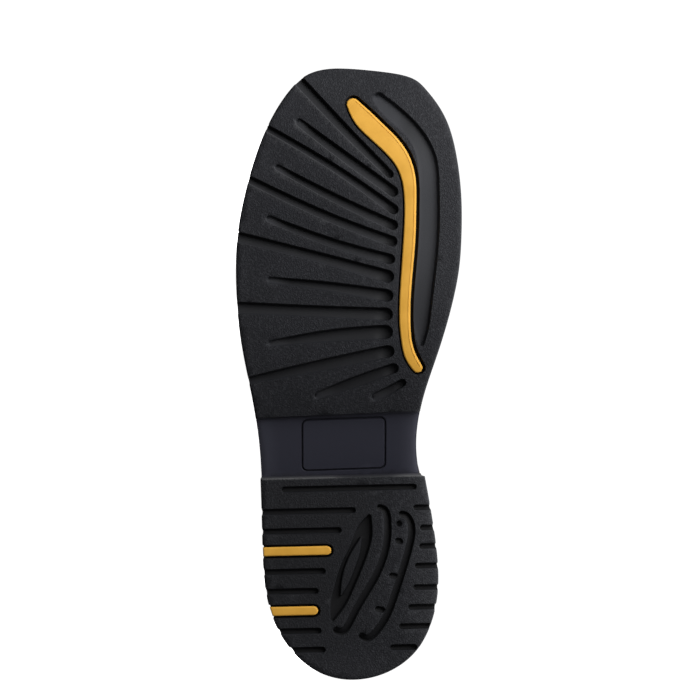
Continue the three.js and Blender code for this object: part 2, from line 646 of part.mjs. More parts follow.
// A flat ring on top of the sole, from just inside the sole's edge to the foot of the upper. Its inner
// edge has the upper's facets, so every second point lies midway between two of them.
function makeWelt() {
  const step = Math.PI / UPPER_POINTS;
  const inner = (angle) => edgeAt(angle, FEATHER_INSET - GAP);
  return loft(
    turns(EDGE_POINTS).map((angle, i) => {
      const midway = inner(angle - step).add(inner(angle + step)).multiplyScalar(0.5);
      const places = [edgeAt(angle, WELT_INSET), i % 2 ? midway : inner(angle)];
      const [outside, inside] = places.map(({ x, y }) => new THREE.Vector3(x, y, seatAt(x) + GAP));
      const raised = (point) => point.clone().setZ(point.z + WELT_THICKNESS);
      return [outside, raised(outside), raised(inside), inside];
    }),
    true,
  );
}
function makeInsole() {
  const inset = FEATHER_INSET + WALL + GAP;
  const underside = (x) => seatAt(x) + GAP;
  const layers = [
    { inset, height: underside },
    { inset, height: (x) => underside(x) + INSOLE_THICKNESS },
  ];
  return slab(layers, UPPER_POINTS);
}

function makeBinding() {
  const out = BINDING_OVERHANG;
  const inside = -(WALL + BINDING_OVERHANG);
  return loft(
    turns(UPPER_POINTS).map((angle) => {
      const at = (distance, up) => {
        const rim = offUpper(COLLAR_RING, angle, distance);
        return rim.setZ(upperPoint(COLLAR_RING, angle).z + GAP + up);
      };
      return [
        at(out, 0),
        at(out, 0.6 * BINDING_HEIGHT),
        at(-WALL / 2, BINDING_HEIGHT),
        at(inside, 0.6 * BINDING_HEIGHT),
        at(inside, 0),
        at(-WALL / 2, 0),
      ];
    }),
    true,
  );
}

// A pull strap is one band: up the outside, over in a loop that stands above the collar, and down inside.
function makeStrap(sideAngle) {
  const reach = STRAP_WIDTH / ringLength(COLLAR_RING);
  const clear = BINDING_OVERHANG + GAP;
  const rim = upperPoint(COLLAR_RING, sideAngle).z;
  const levelAt = (z) => {
    let low = 0;
    let high = COLLAR_RING;
    for (let i = 0; i < 30; i++) {
      const middle = (low + high) / 2;
      if (upperPoint(middle, sideAngle).z < z) low = middle;
      else high = middle;
    }
    return (low + high) / 2;
  };
  const outLeg = clear + STRAP_THICKNESS / 2;
  const inLeg = -(WALL + clear + STRAP_THICKNESS / 2);
  const bend = STRAP_BEND + STRAP_THICKNESS / 2;
  const bendUp = STRAP_LOOP - bend;
  const backLeg = outLeg - 2 * bend;
  const route = [
    { out: outLeg, up: -STRAP_LEG, turn: 0 },
    { out: outLeg, up: -STRAP_LEG / 2, turn: 0 },
    { out: outLeg, up: 0, turn: 0 },
    { out: outLeg, up: bendUp, turn: 0 },
    { out: outLeg - bend * (1 - Math.SQRT1_2), up: bendUp + bend * Math.SQRT1_2, turn: 45 },
    { out: outLeg - bend, up: bendUp + bend, turn: 90 },
    { out: outLeg - bend * (1 + Math.SQRT1_2), up: bendUp + bend * Math.SQRT1_2, turn: 135 },
    { out: backLeg, up: bendUp, turn: 180 },
    { out: (backLeg + inLeg) / 2, up: STRAP_JOIN, turn: 180 - STRAP_LEAN },
    { out: inLeg, up: -STRAP_LEG / 4, turn: 180 },
    { out: inLeg, up: (-STRAP_LEG * 5) / 8, turn: 180 },
    { out: inLeg, up: -STRAP_LEG, turn: 180 },
  ];
  return loft(
    route.map(({ out, up, turn }) => {
      const level = levelAt(rim + Math.min(0, up));
      const lean = THREE.MathUtils.degToRad(turn);
      const across = [-1, 0, 1].map((part) => sideAngle + part * reach);
      const at = (angle, face) => {
        const thick = (face * STRAP_THICKNESS) / 2;
        const point = offUpper(level, angle, out + thick * Math.cos(lean));
        const lift = Math.max(0, up) + thick * Math.sin(lean);
        return point.setZ(upperPoint(level, sideAngle).z + lift);
      };
      return [...across.map((a) => at(a, 1)), ...across.toReversed().map((a) => at(a, -1))];
    }),
  );
}

// A raised seam up the shaft's side, from where the overlays meet to the pull strap. It leans back a
// little at its foot, and each row gives a ring level and that lean, in radians.
const PIPING_ROUTE = [
  { level: 7.55, lean: 0.125 },
  { level: 8, lean: 0.11 },
  { level: 8.6, lean: 0.08 },
  { level: 9.3, lean: 0.045 },
  { level: 10, lean: 0.02 },
  { level: 11, lean: 0 },
  { level: 12, lean: 0 },
  { level: 12.75, lean: 0 },
];
function makePiping(sideAngle) {
  const backwards = sideAngle < Math.PI ? -1 : 1;
  return loft(
    PIPING_ROUTE.map(({ level, lean }) => {
      const reach = (2 * PIPING_WIDTH) / ringLength(level);
      const at = (part, distance) =>
        offUpper(level, sideAngle + backwards * lean + (part * reach) / 2, distance);
      const top = OVERLAY_GAP + PIPING_HEIGHT;
      return [at(-1, OVERLAY_GAP), at(-0.5, top), at(0.5, top), at(1, OVERLAY_GAP)];
    }),
  );
}

const boot = new THREE.Group();
function addPiece(name, solid, material) {
  const { vertProperties, triVerts } = solid.getMesh();
  const geometry = new THREE.BufferGeometry();
  geometry.setAttribute("position", new THREE.BufferAttribute(new Float32Array(vertProperties), 3));
  geometry.setIndex(new THREE.BufferAttribute(new Uint32Array(triVerts), 1));
  geometry.computeVertexNormals();
  const piece = new THREE.Mesh(geometry, material);
  piece.name = name;
  boot.add(piece);
}

const OUTER_SIDE = Math.PI / 2;
const INNER_SIDE = 1.5 * Math.PI;
addPiece("outsole", makeOutsole(), MATERIALS.rubber);
addPiece("forefoot_insert", bandSolid(strip.piece, insertLow, insertHigh), MATERIALS.insert);
for (const { name, piece } of heelBars) {
  addPiece(name, bandSolid(piece, insertLow, insertHigh), MATERIALS.insert);
}
addPiece("welt", makeWelt(), MATERIALS.welt);
addPiece("insole", makeInsole(), MATERIALS.insole);
addPiece("upper", upperShell(RING_LEVELS, -WALL, 0), MATERIALS.shaft);
addPiece("vamp_overlay", makeOverlay(VAMP_EDGE, 2 * SOLE_LENGTH), MATERIALS.foot);
addPiece("counter_overlay", makeOverlay(COUNTER_EDGE, -SOLE_LENGTH), MATERIALS.foot);
addPiece("collar_binding", makeBinding(), MATERIALS.trim);
addPiece("side_piping_outer", makePiping(OUTER_SIDE), MATERIALS.trim);
addPiece("side_piping_inner", makePiping(INNER_SIDE), MATERIALS.trim);
addPiece("pull_strap_outer", makeStrap(OUTER_SIDE), MATERIALS.trim);
addPiece("pull_strap_inner", makeStrap(INNER_SIDE), MATERIALS.trim);

// Laid on its side, the boot rests on the edge of its forefoot, the edge of its heel and its shaft.
// The plane through the three is found by taking, in turn, the point of each that lies furthest out.
function restingPlane() {
  const points = boot.children.flatMap((piece) => {
    const at = piece.geometry.attributes.position;
    return Array.from({ length: at.count }, (_, i) => new THREE.Vector3().fromBufferAttribute(at, i));
  });
  const groups = [
    points.filter((p) => p.x > TREAD_BACK && p.z < INSTEP_HEIGHT),
    points.filter((p) => p.x <= HEEL_LENGTH && p.z < INSTEP_HEIGHT),
    points.filter((p) => p.z > (INSTEP_HEIGHT + SHAFT_HEIGHT) / 2),
  ];
  let down = new THREE.Vector3(0, -1, 0);
  let feet = [];
  for (let round = 0; round < 12; round++) {
    feet = groups.map((group) => group.reduce((a, b) => (b.dot(down) > a.dot(down) ? b : a)));
    const [a, b, c] = feet;
    const normal = b.clone().sub(a).cross(c.clone().sub(a)).normalize();
    down = normal.y > 0 ? normal.negate() : normal;
  }
  return { down, foot: feet[0] };
}

const { down, foot } = restingPlane();
const upRow = down.clone().negate();
const backRow = new THREE.Vector3(0, 0, 1).addScaledVector(upRow, -upRow.z).normalize();
const rightRow = backRow.clone().cross(upRow);
const laid = new THREE.Matrix4().makeBasis(rightRow, backRow, upRow).transpose();
boot.applyMatrix4(laid);
boot.updateMatrixWorld(true);
const box = new THREE.Box3().setFromObject(boot, true);
const floor = foot.clone().applyMatrix4(laid).z;
boot.position.set(-(box.min.x + box.max.x) / 2, -(box.min.y + box.max.y) / 2, -floor);

const root = new THREE.Group();
root.add(boot);
export default root;
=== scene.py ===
# Looks of the western work boot: a right boot that lies on its outer side, seen from under its sole.
# Forms are worked out in the boot's own frame, in millimetres: x forward from the back of the heel, y
# towards the inner side of the foot and z up from the plane of the tread. place() takes them to the frame
# of the row.
import json
import math

import bmesh
import bpy
import numpy as np
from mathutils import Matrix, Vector
from mathutils.geometry import delaunay_2d_cdt


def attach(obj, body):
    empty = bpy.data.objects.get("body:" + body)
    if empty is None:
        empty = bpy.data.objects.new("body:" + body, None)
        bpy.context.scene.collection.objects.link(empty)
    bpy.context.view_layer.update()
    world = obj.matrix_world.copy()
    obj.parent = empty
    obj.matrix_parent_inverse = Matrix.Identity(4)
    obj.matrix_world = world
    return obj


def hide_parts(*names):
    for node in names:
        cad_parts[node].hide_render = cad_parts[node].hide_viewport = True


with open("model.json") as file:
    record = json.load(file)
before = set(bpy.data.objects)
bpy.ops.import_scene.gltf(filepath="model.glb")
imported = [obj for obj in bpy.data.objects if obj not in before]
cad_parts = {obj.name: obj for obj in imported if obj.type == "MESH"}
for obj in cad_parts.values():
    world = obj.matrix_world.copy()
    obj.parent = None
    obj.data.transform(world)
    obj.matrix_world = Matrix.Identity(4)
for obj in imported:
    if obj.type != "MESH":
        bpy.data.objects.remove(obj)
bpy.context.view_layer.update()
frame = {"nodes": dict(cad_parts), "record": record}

MM = 0.001

# Sizes of the boot, the same as those of its solids. All are in millimetres but for the ramp, the start of
# the flare, the slant and the two curves, which are shares or plain numbers.
SOLE_LENGTH = 312.0
BALL_WIDTH = 115.0
HEEL_LENGTH = 103.0
BREAST_HEIGHT = 19.0
HEEL_SEAT = 33.0
SOLE_THICKNESS = 10.5
TOE_SPRING = 12.0
SPRING_CURVE = 1.8
TREAD_BACK = 135.0
TREAD_BACK_RISE = 8.0
TREAD_STEP = 3.0
FLAT_BACK = 186.0
FLAT_FRONT = 246.0
ARCH_LIFT = 5.0
HEEL_FLARE = 2.2
FLARE_START = 0.55
RAMP_FRONT = 0.66
RAMP_BACK = 0.17
HEEL_SLANT = math.tan(math.radians(1.3))
INSERT_SIDE_GAP = 0.8
BAR_WIDTH = 5.2
WELT_THICKNESS = 4.0
WELT_INSET = 1.0
FEATHER_INSET = 6.0
WALL = 2.2
INSTEP_HEIGHT = 116.0
SHAFT_HEIGHT = 290.0
SHAFT_WIDTH = 92.0
FRONT_SCALLOP = 20.0
BACK_SCALLOP = 14.0
SCALLOP_CURVE = 5
OVERLAY_THICKNESS = 1.5
OVERLAY_GAP = 0.55
BINDING_HEIGHT = 3.0
BINDING_OVERHANG = 0.4
PIPING_WIDTH = 3.2
PIPING_HEIGHT = 1.5
STRAP_WIDTH = 30.0
STRAP_THICKNESS = 1.8
STRAP_LEG = 48.0
STRAP_LOOP = 27.0
STRAP_BEND = 8.0
STRAP_JOIN = 3.0
STRAP_LEAN = 12.0
GAP = 0.35

# Where the record's heel mount lies on the boot
MOUNT_ACROSS = -14.5
HEEL_MOUNT = 91.7

# Relief of the tread in millimetres, but for PAST_EDGE, a share of the ball width, the names that end in
# SHARE, and the strengths of the painted shade in heel grooves and of the painted highlight on groove lips
GROOVE_DEEP = 3.6
GROOVE_SHALLOW = 1.5
HEEL_DEEP = 2.8
HEEL_SHALLOW = 2.0
GROOVE_WALL = 0.7
FAR_WALL = 0.4
GROOVE_LIP = 0.2
HEEL_GROOVE_WIDTH = 2.9
ARC_WIDTH = 3.7
ARC_SHIFT = -0.55
ARC_DEEP = 3.0
ARC_SHALLOW = 1.1
TICK_WIDTH = 3.1
TICK_DEEP = 2.2
TICK_SHALLOW = 1.3
NOTCH = 0.6
POCKET_SHIFT = 0.4
BAR_SLIM = 0.35
BLUNT_LENGTH = 6.0
BLUNT_SHARE = 0.85
LIP_LINE = 0.22
# Strength of the painted highlight on the forefoot grooves' lips
LIP_HIGHLIGHT = 0.4
CHANNEL_DEEP = 2.9
CHANNEL_SHALLOW = 0.5
PIT_DEEP = 3.0
POCKET_DEPTH = 3.4
OPEN_REACH = 14.0
PAST_EDGE = 0.5
FADE_LENGTH = 13.0
FADE_SHARE = 0.5
HEEL_SHADE = 0.92
BREAST_RUN = 0.4
STEP_RUN = 0.9
EDGE_ROUND = 0.8
SHANK_ROUND = 3.0
SHANK_DROP = 0.5
EDGE_SPACING = 1.1
FIELD_SPACING = 3.2


def columns(names, rows):
    """A short table as one array for each named column."""
    return dict(zip(names.split(), np.array(rows, float).T))


# Sole outline: along is a share of the length from the heel, the two sides are shares of the ball width.
OUTLINE = columns("along outer inner", [
    (0.0, -0.015, 0.015),
    (0.0196, 0.166, 0.21),
    (0.0458, 0.246, 0.296),
    (0.085, 0.316, 0.358),
    (0.1503, 0.368, 0.396),
    (0.2026, 0.379, 0.391),
    (0.268, 0.384, 0.356),
    (0.3235, 0.389, 0.322),
    (0.3758, 0.397, 0.303),
    (0.4248, 0.413, 0.312),
    (0.4739, 0.436, 0.343),
    (0.5229, 0.462, 0.387),
    (0.5719, 0.483, 0.429),
    (0.6209, 0.494, 0.464),
    (0.6699, 0.498, 0.489),
    (0.719, 0.492, 0.499),
    (0.7843, 0.462, 0.499),
    (0.8497, 0.414, 0.48),
    (0.915, 0.343, 0.432),
    (0.9673, 0.252, 0.338),
    (0.9902, 0.179, 0.222),
    (0.9967, 0.13, 0.094),
    (1.0, 0.049, -0.049),
])

# Forefoot grooves at their outer end, middle and inner end. An open one runs out through the side.
FOREFOOT_GROOVES = columns("open a0 c0 w0 a1 c1 w1 a2 c2 w2", [
    (1, 0.976, -0.214, 0.048, 0.891, 0.0, 0.044, 0.819, 0.194, 0.035),
    (0, 0.913, -0.232, 0.035, 0.865, -0.062, 0.044, 0.79, 0.216, 0.047),
    (1, 0.898, -0.353, 0.031, 0.828, -0.038, 0.035, 0.761, 0.217, 0.045),
    (0, 0.837, -0.325, 0.027, 0.779, -0.029, 0.04, 0.737, 0.217, 0.045),
    (1, 0.814, -0.435, 0.035, 0.752, -0.075, 0.04, 0.711, 0.215, 0.047),
    (0, 0.753, -0.365, 0.031, 0.708, -0.038, 0.04, 0.683, 0.205, 0.047),
    (1, 0.721, -0.484, 0.046, 0.694, -0.188, 0.044, 0.654, 0.201, 0.058),
    (0, 0.652, -0.361, 0.027, 0.639, -0.06, 0.044, 0.624, 0.198, 0.057),
    (1, 0.606, -0.481, 0.053, 0.601, -0.188, 0.051, 0.595, 0.196, 0.058),
    (0, 0.547, -0.356, 0.027, 0.561, -0.069, 0.055, 0.567, 0.196, 0.063),
    (1, 0.489, -0.425, 0.033, 0.515, -0.084, 0.053, 0.537, 0.202, 0.055),
    (0, 0.461, -0.153, 0.031, 0.482, 0.007, 0.049, 0.51, 0.22, 0.044),
    (0, 0.458, 0.1, 0.035, 0.471, 0.179, 0.04, 0.487, 0.252, 0.031),
])

# Long curved forms, from the toe back, in the same shares.
STRIP = columns("along across width", [
    (0.946, 0.007, 0.046),
    (0.919, 0.059, 0.084),
    (0.895, 0.122, 0.088),
    (0.871, 0.188, 0.084),
    (0.845, 0.239, 0.073),
    (0.817, 0.265, 0.062),
    (0.781, 0.273, 0.053),
    (0.708, 0.267, 0.053),
    (0.634, 0.252, 0.049),
    (0.575, 0.25, 0.048),
    (0.546, 0.259, 0.047),
    (0.528, 0.273, 0.05),
    (0.502, 0.318, 0.041),
])
CHANNEL = columns("along across width", [
    (0.955, 0.117, 0.045),
    (0.932, 0.177, 0.072),
    (0.892, 0.289, 0.071),
    (0.849, 0.345, 0.084),
    (0.809, 0.355, 0.088),
    (0.744, 0.355, 0.091),
    (0.642, 0.333, 0.088),
    (0.598, 0.322, 0.081),
    (0.574, 0.32, 0.067),
    (0.545, 0.321, 0.02),
])
PIT = columns("along across width", [
    (0.268, 0.093, 0.013),
    (0.247, 0.073, 0.066),
    (0.216, 0.049, 0.084),
    (0.183, 0.011, 0.093),
    (0.15, -0.022, 0.084),
    (0.121, -0.051, 0.062),
    (0.096, -0.073, 0.013),
])
LEAF = columns("along across width", [
    (0.232, 0.055, 0.009),
    (0.209, 0.033, 0.04),
    (0.185, 0.007, 0.049),
    (0.16, -0.015, 0.04),
    (0.137, -0.035, 0.009),
])
ARCS = [
    columns("along across", [
        (0.283, 0.122),
        (0.278, 0.162),
        (0.259, 0.177),
        (0.216, 0.17),
        (0.177, 0.135),
        (0.101, 0.019),
        (0.077, -0.033),
        (0.082, -0.073),
    ]),
    columns("along across", [
        (0.271, 0.219),
        (0.27, 0.252),
        (0.257, 0.278),
        (0.221, 0.275),
        (0.144, 0.213),
        (0.074, 0.116),
        (0.066, 0.084),
        (0.074, 0.041),
    ]),
]
TICKS = columns("along0 across0 along1 across1", [
    (0.2588, 0.226, 0.2492, 0.2199),
    (0.2276, 0.2058, 0.2239, 0.2394),
    (0.17, 0.1774, 0.1676, 0.219),
    (0.116, 0.1159, 0.1127, 0.1615),
])

# Straight heel grooves: along at their middle line, and the ends across.
HEEL_GROOVES = columns("along start end", [
    (0.312, -0.297, 0.3),
    (0.276, -PAST_EDGE, 0.031),
    (0.244, -PAST_EDGE, -0.031),
    (0.178, -PAST_EDGE, -0.102),
    (0.146, -PAST_EDGE, -0.133),
    (0.081, -PAST_EDGE, -0.12),
    (0.05, -PAST_EDGE, -0.102),
    (0.278, 0.285, PAST_EDGE),
    (0.245, 0.314, PAST_EDGE),
    (0.215, 0.311, PAST_EDGE),
    (0.183, 0.292, PAST_EDGE),
    (0.148, 0.285, PAST_EDGE),
    (0.116, 0.263, PAST_EDGE),
    (0.085, 0.222, 0.365),
    (0.051, 0.183, 0.303),
])
HEEL_BARS = columns("along end", [(0.2115, -0.073), (0.114, -0.131)])
HEEL_BAR_NODES = ["heel_insert_front", "heel_insert_rear"]

# The bare plate on the shank, in millimetres
PLATE_CENTRE = (119.3, -2.5)
PLATE_HALF = (13.2, 21.3)
PLATE_ROUND = 2.8
PLATE_LINE = 0.65
PLATE_LINE_DEPTH = 0.9
PLATE_CORE = np.array(PLATE_HALF) - PLATE_ROUND
PLATE_SLANT = 1.5 * HEEL_SLANT

# Side of the sole above the tread: share of the height of the plate, and how far in.
SIDE_STEPS = columns("height inset", [
    (0.16, 0.0),
    (0.4, 0.0),
    (0.44, 0.15),
    (0.49, 1.1),
    (0.52, 1.3),
    (0.64, 1.3),
    (0.67, 1.1),
    (0.71, 0.55),
    (0.75, 0.4),
    (0.95, 0.4),
    (1.0, 0.7),
])

# Rings of the upper, from the sole to the collar, as in its solid.
OVER_WELT = (WELT_THICKNESS + 3 * GAP) / (INSTEP_HEIGHT - HEEL_SEAT)
UPPER_RINGS = columns("front front_up back back_up heel fore follow", [
    (1.0, 0.0, 0.0, 0.0, 1.0, 1.0, 1.0),
    (1.0, OVER_WELT, 0.0, OVER_WELT, 1.0, 1.0, 1.0),
    (1.004, 0.15, -0.005, 0.17, 1.01, 1.01, 1.0),
    (1.0, 0.26, -0.008, 0.29, 0.99, 0.99, 0.98),
    (0.974, 0.365, -0.008, 0.4, 0.96, 0.93, 0.95),
    (0.92, 0.43, -0.004, 0.5, 0.92, 0.84, 0.88),
    (0.84, 0.5, 0.003, 0.6, 0.89, 0.77, 0.78),
    (0.75, 0.6, 0.01, 0.72, 0.87, 0.74, 0.65),
    (0.66, 0.74, 0.018, 0.86, 0.85, 0.74, 0.5),
    (0.575, 0.91, 0.025, 1.0, 0.84, 0.76, 0.32),
    (0.505, 1.08, 0.027, 1.11, 0.85, 0.82, 0.16),
    (0.459, 1.26, 0.022, 1.27, 0.88, 0.87, 0.05),
    (0.438, 1.49, 0.005, 1.49, 0.92, 0.92, 0.0),
    (0.438, 1.75, -0.02, 1.75, 0.97, 0.97, 0.0),
    (0.445, 2.0, -0.037, 2.0, 1.0, 1.0, 0.0),
])
COLLAR_RING = len(UPPER_RINGS["front"]) - 1

# Side view of the overlays' edges: x is a share of the sole's length and z of the instep's height.
VAMP_EDGE = columns("x z", [
    (0.318, -0.2),
    (0.317, 0.4),
    (0.315, 0.68),
    (0.335, 0.83),
    (0.38, 0.99),
    (0.42, 1.22),
    (0.448, 1.6),
])
COUNTER_EDGE = columns("x z", [
    (0.31, -0.2),
    (0.309, 0.4),
    (0.304, 0.66),
    (0.25, 0.77),
    (0.16, 0.84),
    (0.08, 0.92),
    (-0.05, 1.06),
])
PIPING_ROUTE = columns("level lean", [
    (7.55, 0.125),
    (8, 0.11),
    (8.6, 0.08),
    (9.3, 0.045),
    (10, 0.02),
    (11, 0),
    (12, 0),
    (12.75, 0),
])

# Creases of the upper. Each runs round the boot between two angles, in degrees from the back over the outer
# side, at one ring level in its middle and another at its ends. Depth and width are in millimetres.
CREASES = columns("middle ends start stop depth width", [
    (8.9, 9.7, 126, 234, 1.5, 4.5),
    (9.75, 10.5, 134, 226, 1.1, 4.5),
    (10.7, 11.1, 142, 218, 0.7, 5.5),
    (9.55, 8.9, -52, 50, 1.1, 5.0),
    (10.5, 9.9, -44, 46, 0.8, 6.0),
    (9.3, 9.9, 52, 112, 0.8, 5.0),
    (9.2, 9.8, 248, 306, 0.8, 5.0),
    (10.6, 11.2, 66, 118, 0.5, 6.0),
    (10.5, 11.1, 240, 292, 0.5, 6.0),
    (7.5, 3.4, 126, 234, 0.5, 3.5),
    (6.7, 3.2, 134, 226, 0.35, 3.5),
    (8.2, 4.6, 118, 242, 0.45, 4.0),
    (12.6, 12.1, 20, 80, 0.4, 9.0),
    (12.3, 12.8, 285, 340, 0.4, 9.0),
])


class Spline:
    """A natural cubic through all its values, read at arrays of places."""

    def __init__(self, knots, values):
        self.knots = np.asarray(knots, float)
        self.values = np.asarray(values, float)
        step = np.diff(self.knots)
        slopes = np.diff(self.values) / step
        system = np.eye(len(self.knots))
        right = np.zeros(len(self.knots))
        for i in range(1, len(self.knots) - 1):
            system[i, i - 1 : i + 2] = step[i - 1], 2 * (step[i - 1] + step[i]), step[i]
            right[i] = 6 * (slopes[i] - slopes[i - 1])
        self.bend = np.linalg.solve(system, right)

    def __call__(self, at):
        at = np.asarray(at, float)
        i = np.clip(np.searchsorted(self.knots, at, side="right") - 1, 0, len(self.knots) - 2)
        span = self.knots[i + 1] - self.knots[i]
        after = np.clip((at - self.knots[i]) / span, 0, 1)
        before = 1 - after
        curve = (before**3 - before) * self.bend[i] + (after**3 - after) * self.bend[i + 1]
        return before * self.values[i] + after * self.values[i + 1] + curve * span**2 / 6


def lerp(low, high, share):
    return low + (high - low) * share


def smooth(value, low, high):
    share = np.clip((np.asarray(value, float) - low) / (high - low), 0, 1)
    return share * share * (3 - 2 * share)


def unit(vectors):
    return vectors / np.maximum(np.linalg.norm(vectors, axis=-1, keepdims=True), 1e-9)


def turned(vectors):
    """Flat vectors turned a quarter to the left."""
    return np.stack([-vectors[..., 1], vectors[..., 0]], -1)


def chord_knots(points):
    return np.r_[0, np.cumsum(np.linalg.norm(np.diff(points, axis=0), axis=1))]


def read_at(path, knots, at):
    """Points of a path at some places along it."""
    return np.stack([np.interp(at, knots, column) for column in path.T], -1)


def nearest_on(points, start, step):
    """The nearest share of each step of a line, and the gap from there, for each point."""
    offset = points[:, None] - start
    share = np.clip((offset * step).sum(-1) / (step * step).sum(-1), 0, 1)
    return share, offset - share[..., None] * step


def boot_axes():
    """The boot's origin and its three axes in the row's frame, from the two mounts on the tread."""
    mounts = {m["name"]: m for m in frame["record"]["mounts"]}
    heel = np.array(mounts["heel_tread"]["pos_m"])
    ahead = unit(np.array(mounts["forefoot_tread"]["pos_m"]) - heel)
    up = -unit(np.array(mounts["heel_tread"]["axis"]))
    inner = unit(np.cross(up, ahead))
    ahead = np.cross(inner, up)
    origin = heel - MM * (HEEL_MOUNT * ahead + MOUNT_ACROSS * inner)
    return origin, np.stack([ahead, inner, up])


ORIGIN, AXES = boot_axes()


def place(points):
    return ORIGIN + MM * (np.asarray(points, float) @ AXES)


# Heights of the sole over the plane of the tread
def spring_at(x):
    return TOE_SPRING * np.maximum(0, (x - FLAT_FRONT) / (SOLE_LENGTH - FLAT_FRONT)) ** SPRING_CURVE


def tread_at(x):
    return spring_at(x) + TREAD_BACK_RISE * np.maximum(0, (FLAT_BACK - x) / (FLAT_BACK - TREAD_BACK)) ** 2


def shank_at(x, y):
    forward = np.clip((x - HEEL_LENGTH) / (TREAD_BACK - HEEL_LENGTH), 0, 1)
    arch = ARCH_LIFT * (1 - forward) * (y / BALL_WIDTH)
    behind = lerp(BREAST_HEIGHT, TREAD_BACK_RISE + TREAD_STEP, forward) + arch
    return np.where(x >= TREAD_BACK, tread_at(x) + TREAD_STEP, behind)


def seat_at(x):
    climb = 1 - smooth(x, RAMP_BACK * SOLE_LENGTH, RAMP_FRONT * SOLE_LENGTH)
    return SOLE_THICKNESS + spring_at(x) + (HEEL_SEAT - SOLE_THICKNESS) * climb


EDGE_KNOTS = np.arccos(1 - 2 * OUTLINE["along"])
OUTER_HALF = Spline(EDGE_KNOTS, OUTLINE["outer"])
INNER_HALF = Spline(EDGE_KNOTS, OUTLINE["inner"])


def raw_edge(angle):
    turn = np.mod(angle, 2 * np.pi)
    part = np.where(turn <= np.pi, turn, 2 * np.pi - turn)
    across = np.where(turn <= np.pi, -OUTER_HALF(part), INNER_HALF(part))
    return np.stack([SOLE_LENGTH * (1 - np.cos(part)) / 2, BALL_WIDTH * across], -1)


def edge_at(angle, inset):
    """The sole's edge from the back of the heel over the outer side to the toe and back, moved in."""
    small = 0.004
    along = unit(raw_edge(angle + small) - raw_edge(angle - small))
    return raw_edge(angle) + turned(along) * np.asarray(inset, float)[..., None]


def even_angles(spacing):
    """Angles at which the sole's edge is cut into steps of about the same length."""
    fine = np.linspace(0, 2 * np.pi, 4001)
    length = chord_knots(raw_edge(fine))
    count = int(round(length[-1] / spacing))
    return np.interp(np.arange(count) * length[-1] / count, length, fine)


# Forms of the tread
class Band:
    """A curved band on the tread, from rows of x, y and width, with rounded or open ends."""

    END_STEPS = 6
    LEAST = 0.03

    def __init__(self, rows, open_start=False, open_end=False, spacing=1.3, grow=0.0, shift=0.0):
        rows = np.asarray(rows, float)
        knots = chord_knots(rows[:, :2])
        x, y, width = (Spline(knots, column) for column in rows.T)
        length = knots[-1]
        self.open_start, self.open_end = open_start, open_end
        start = -OPEN_REACH if open_start else rows[0, 2] / 2
        end = length + OPEN_REACH if open_end else length - rows[-1, 2] / 2
        self.at = np.linspace(start, end, max(2, int(round((end - start) / spacing))) + 1)
        inside = np.clip(self.at, 0, length)
        small = 0.01
        before, after = np.clip(inside - small, 0, length), np.clip(inside + small, 0, length)
        self.ahead = unit(np.stack([x(after) - x(before), y(after) - y(before)], -1))
        self.middle = np.stack([x(inside), y(inside)], -1) + self.ahead * (self.at - inside)[:, None]
        self.middle -= shift * turned(self.ahead)
        self.half = width(inside) / 2 + grow

    def ring(self, inset):
        """The band's outline moved in by a distance, as a closed loop of points."""
        half = np.maximum(self.half - inset, self.LEAST)[:, None]
        side = turned(self.ahead)
        turn = np.linspace(0, np.pi, self.END_STEPS + 1)[1:-1, None]
        end = self.middle[-1] + half[-1] * (side[-1] * np.cos(turn) + self.ahead[-1] * np.sin(turn))
        start = self.middle[0] - half[0] * (side[0] * np.cos(turn) + self.ahead[0] * np.sin(turn))
        parts = [self.middle + side * half, end, (self.middle - side * half)[::-1], start]
        if self.open_end:
            parts[1] = parts[1][:0]
        if self.open_start:
            parts[3] = parts[3][:0]
        return np.concatenate(parts)

    def read(self, points):
        """How far along and to the left each point lies, half the width there, and how far inside it is."""
        step = np.diff(self.middle, axis=0)
        share, gap = nearest_on(points, self.middle[:-1], step)
        best = np.argmin((gap * gap).sum(-1), axis=1)
        row = np.arange(len(points))
        share, gap, step = share[row, best], gap[row, best], step[best]
        distance = np.linalg.norm(gap, axis=1)
        left = np.copysign(distance, step[:, 0] * gap[:, 1] - step[:, 1] * gap[:, 0])
        along = lerp(self.at[best], self.at[best + 1], share)
        half = lerp(self.half[best], self.half[best + 1], share)
        return along, left, half, half - distance


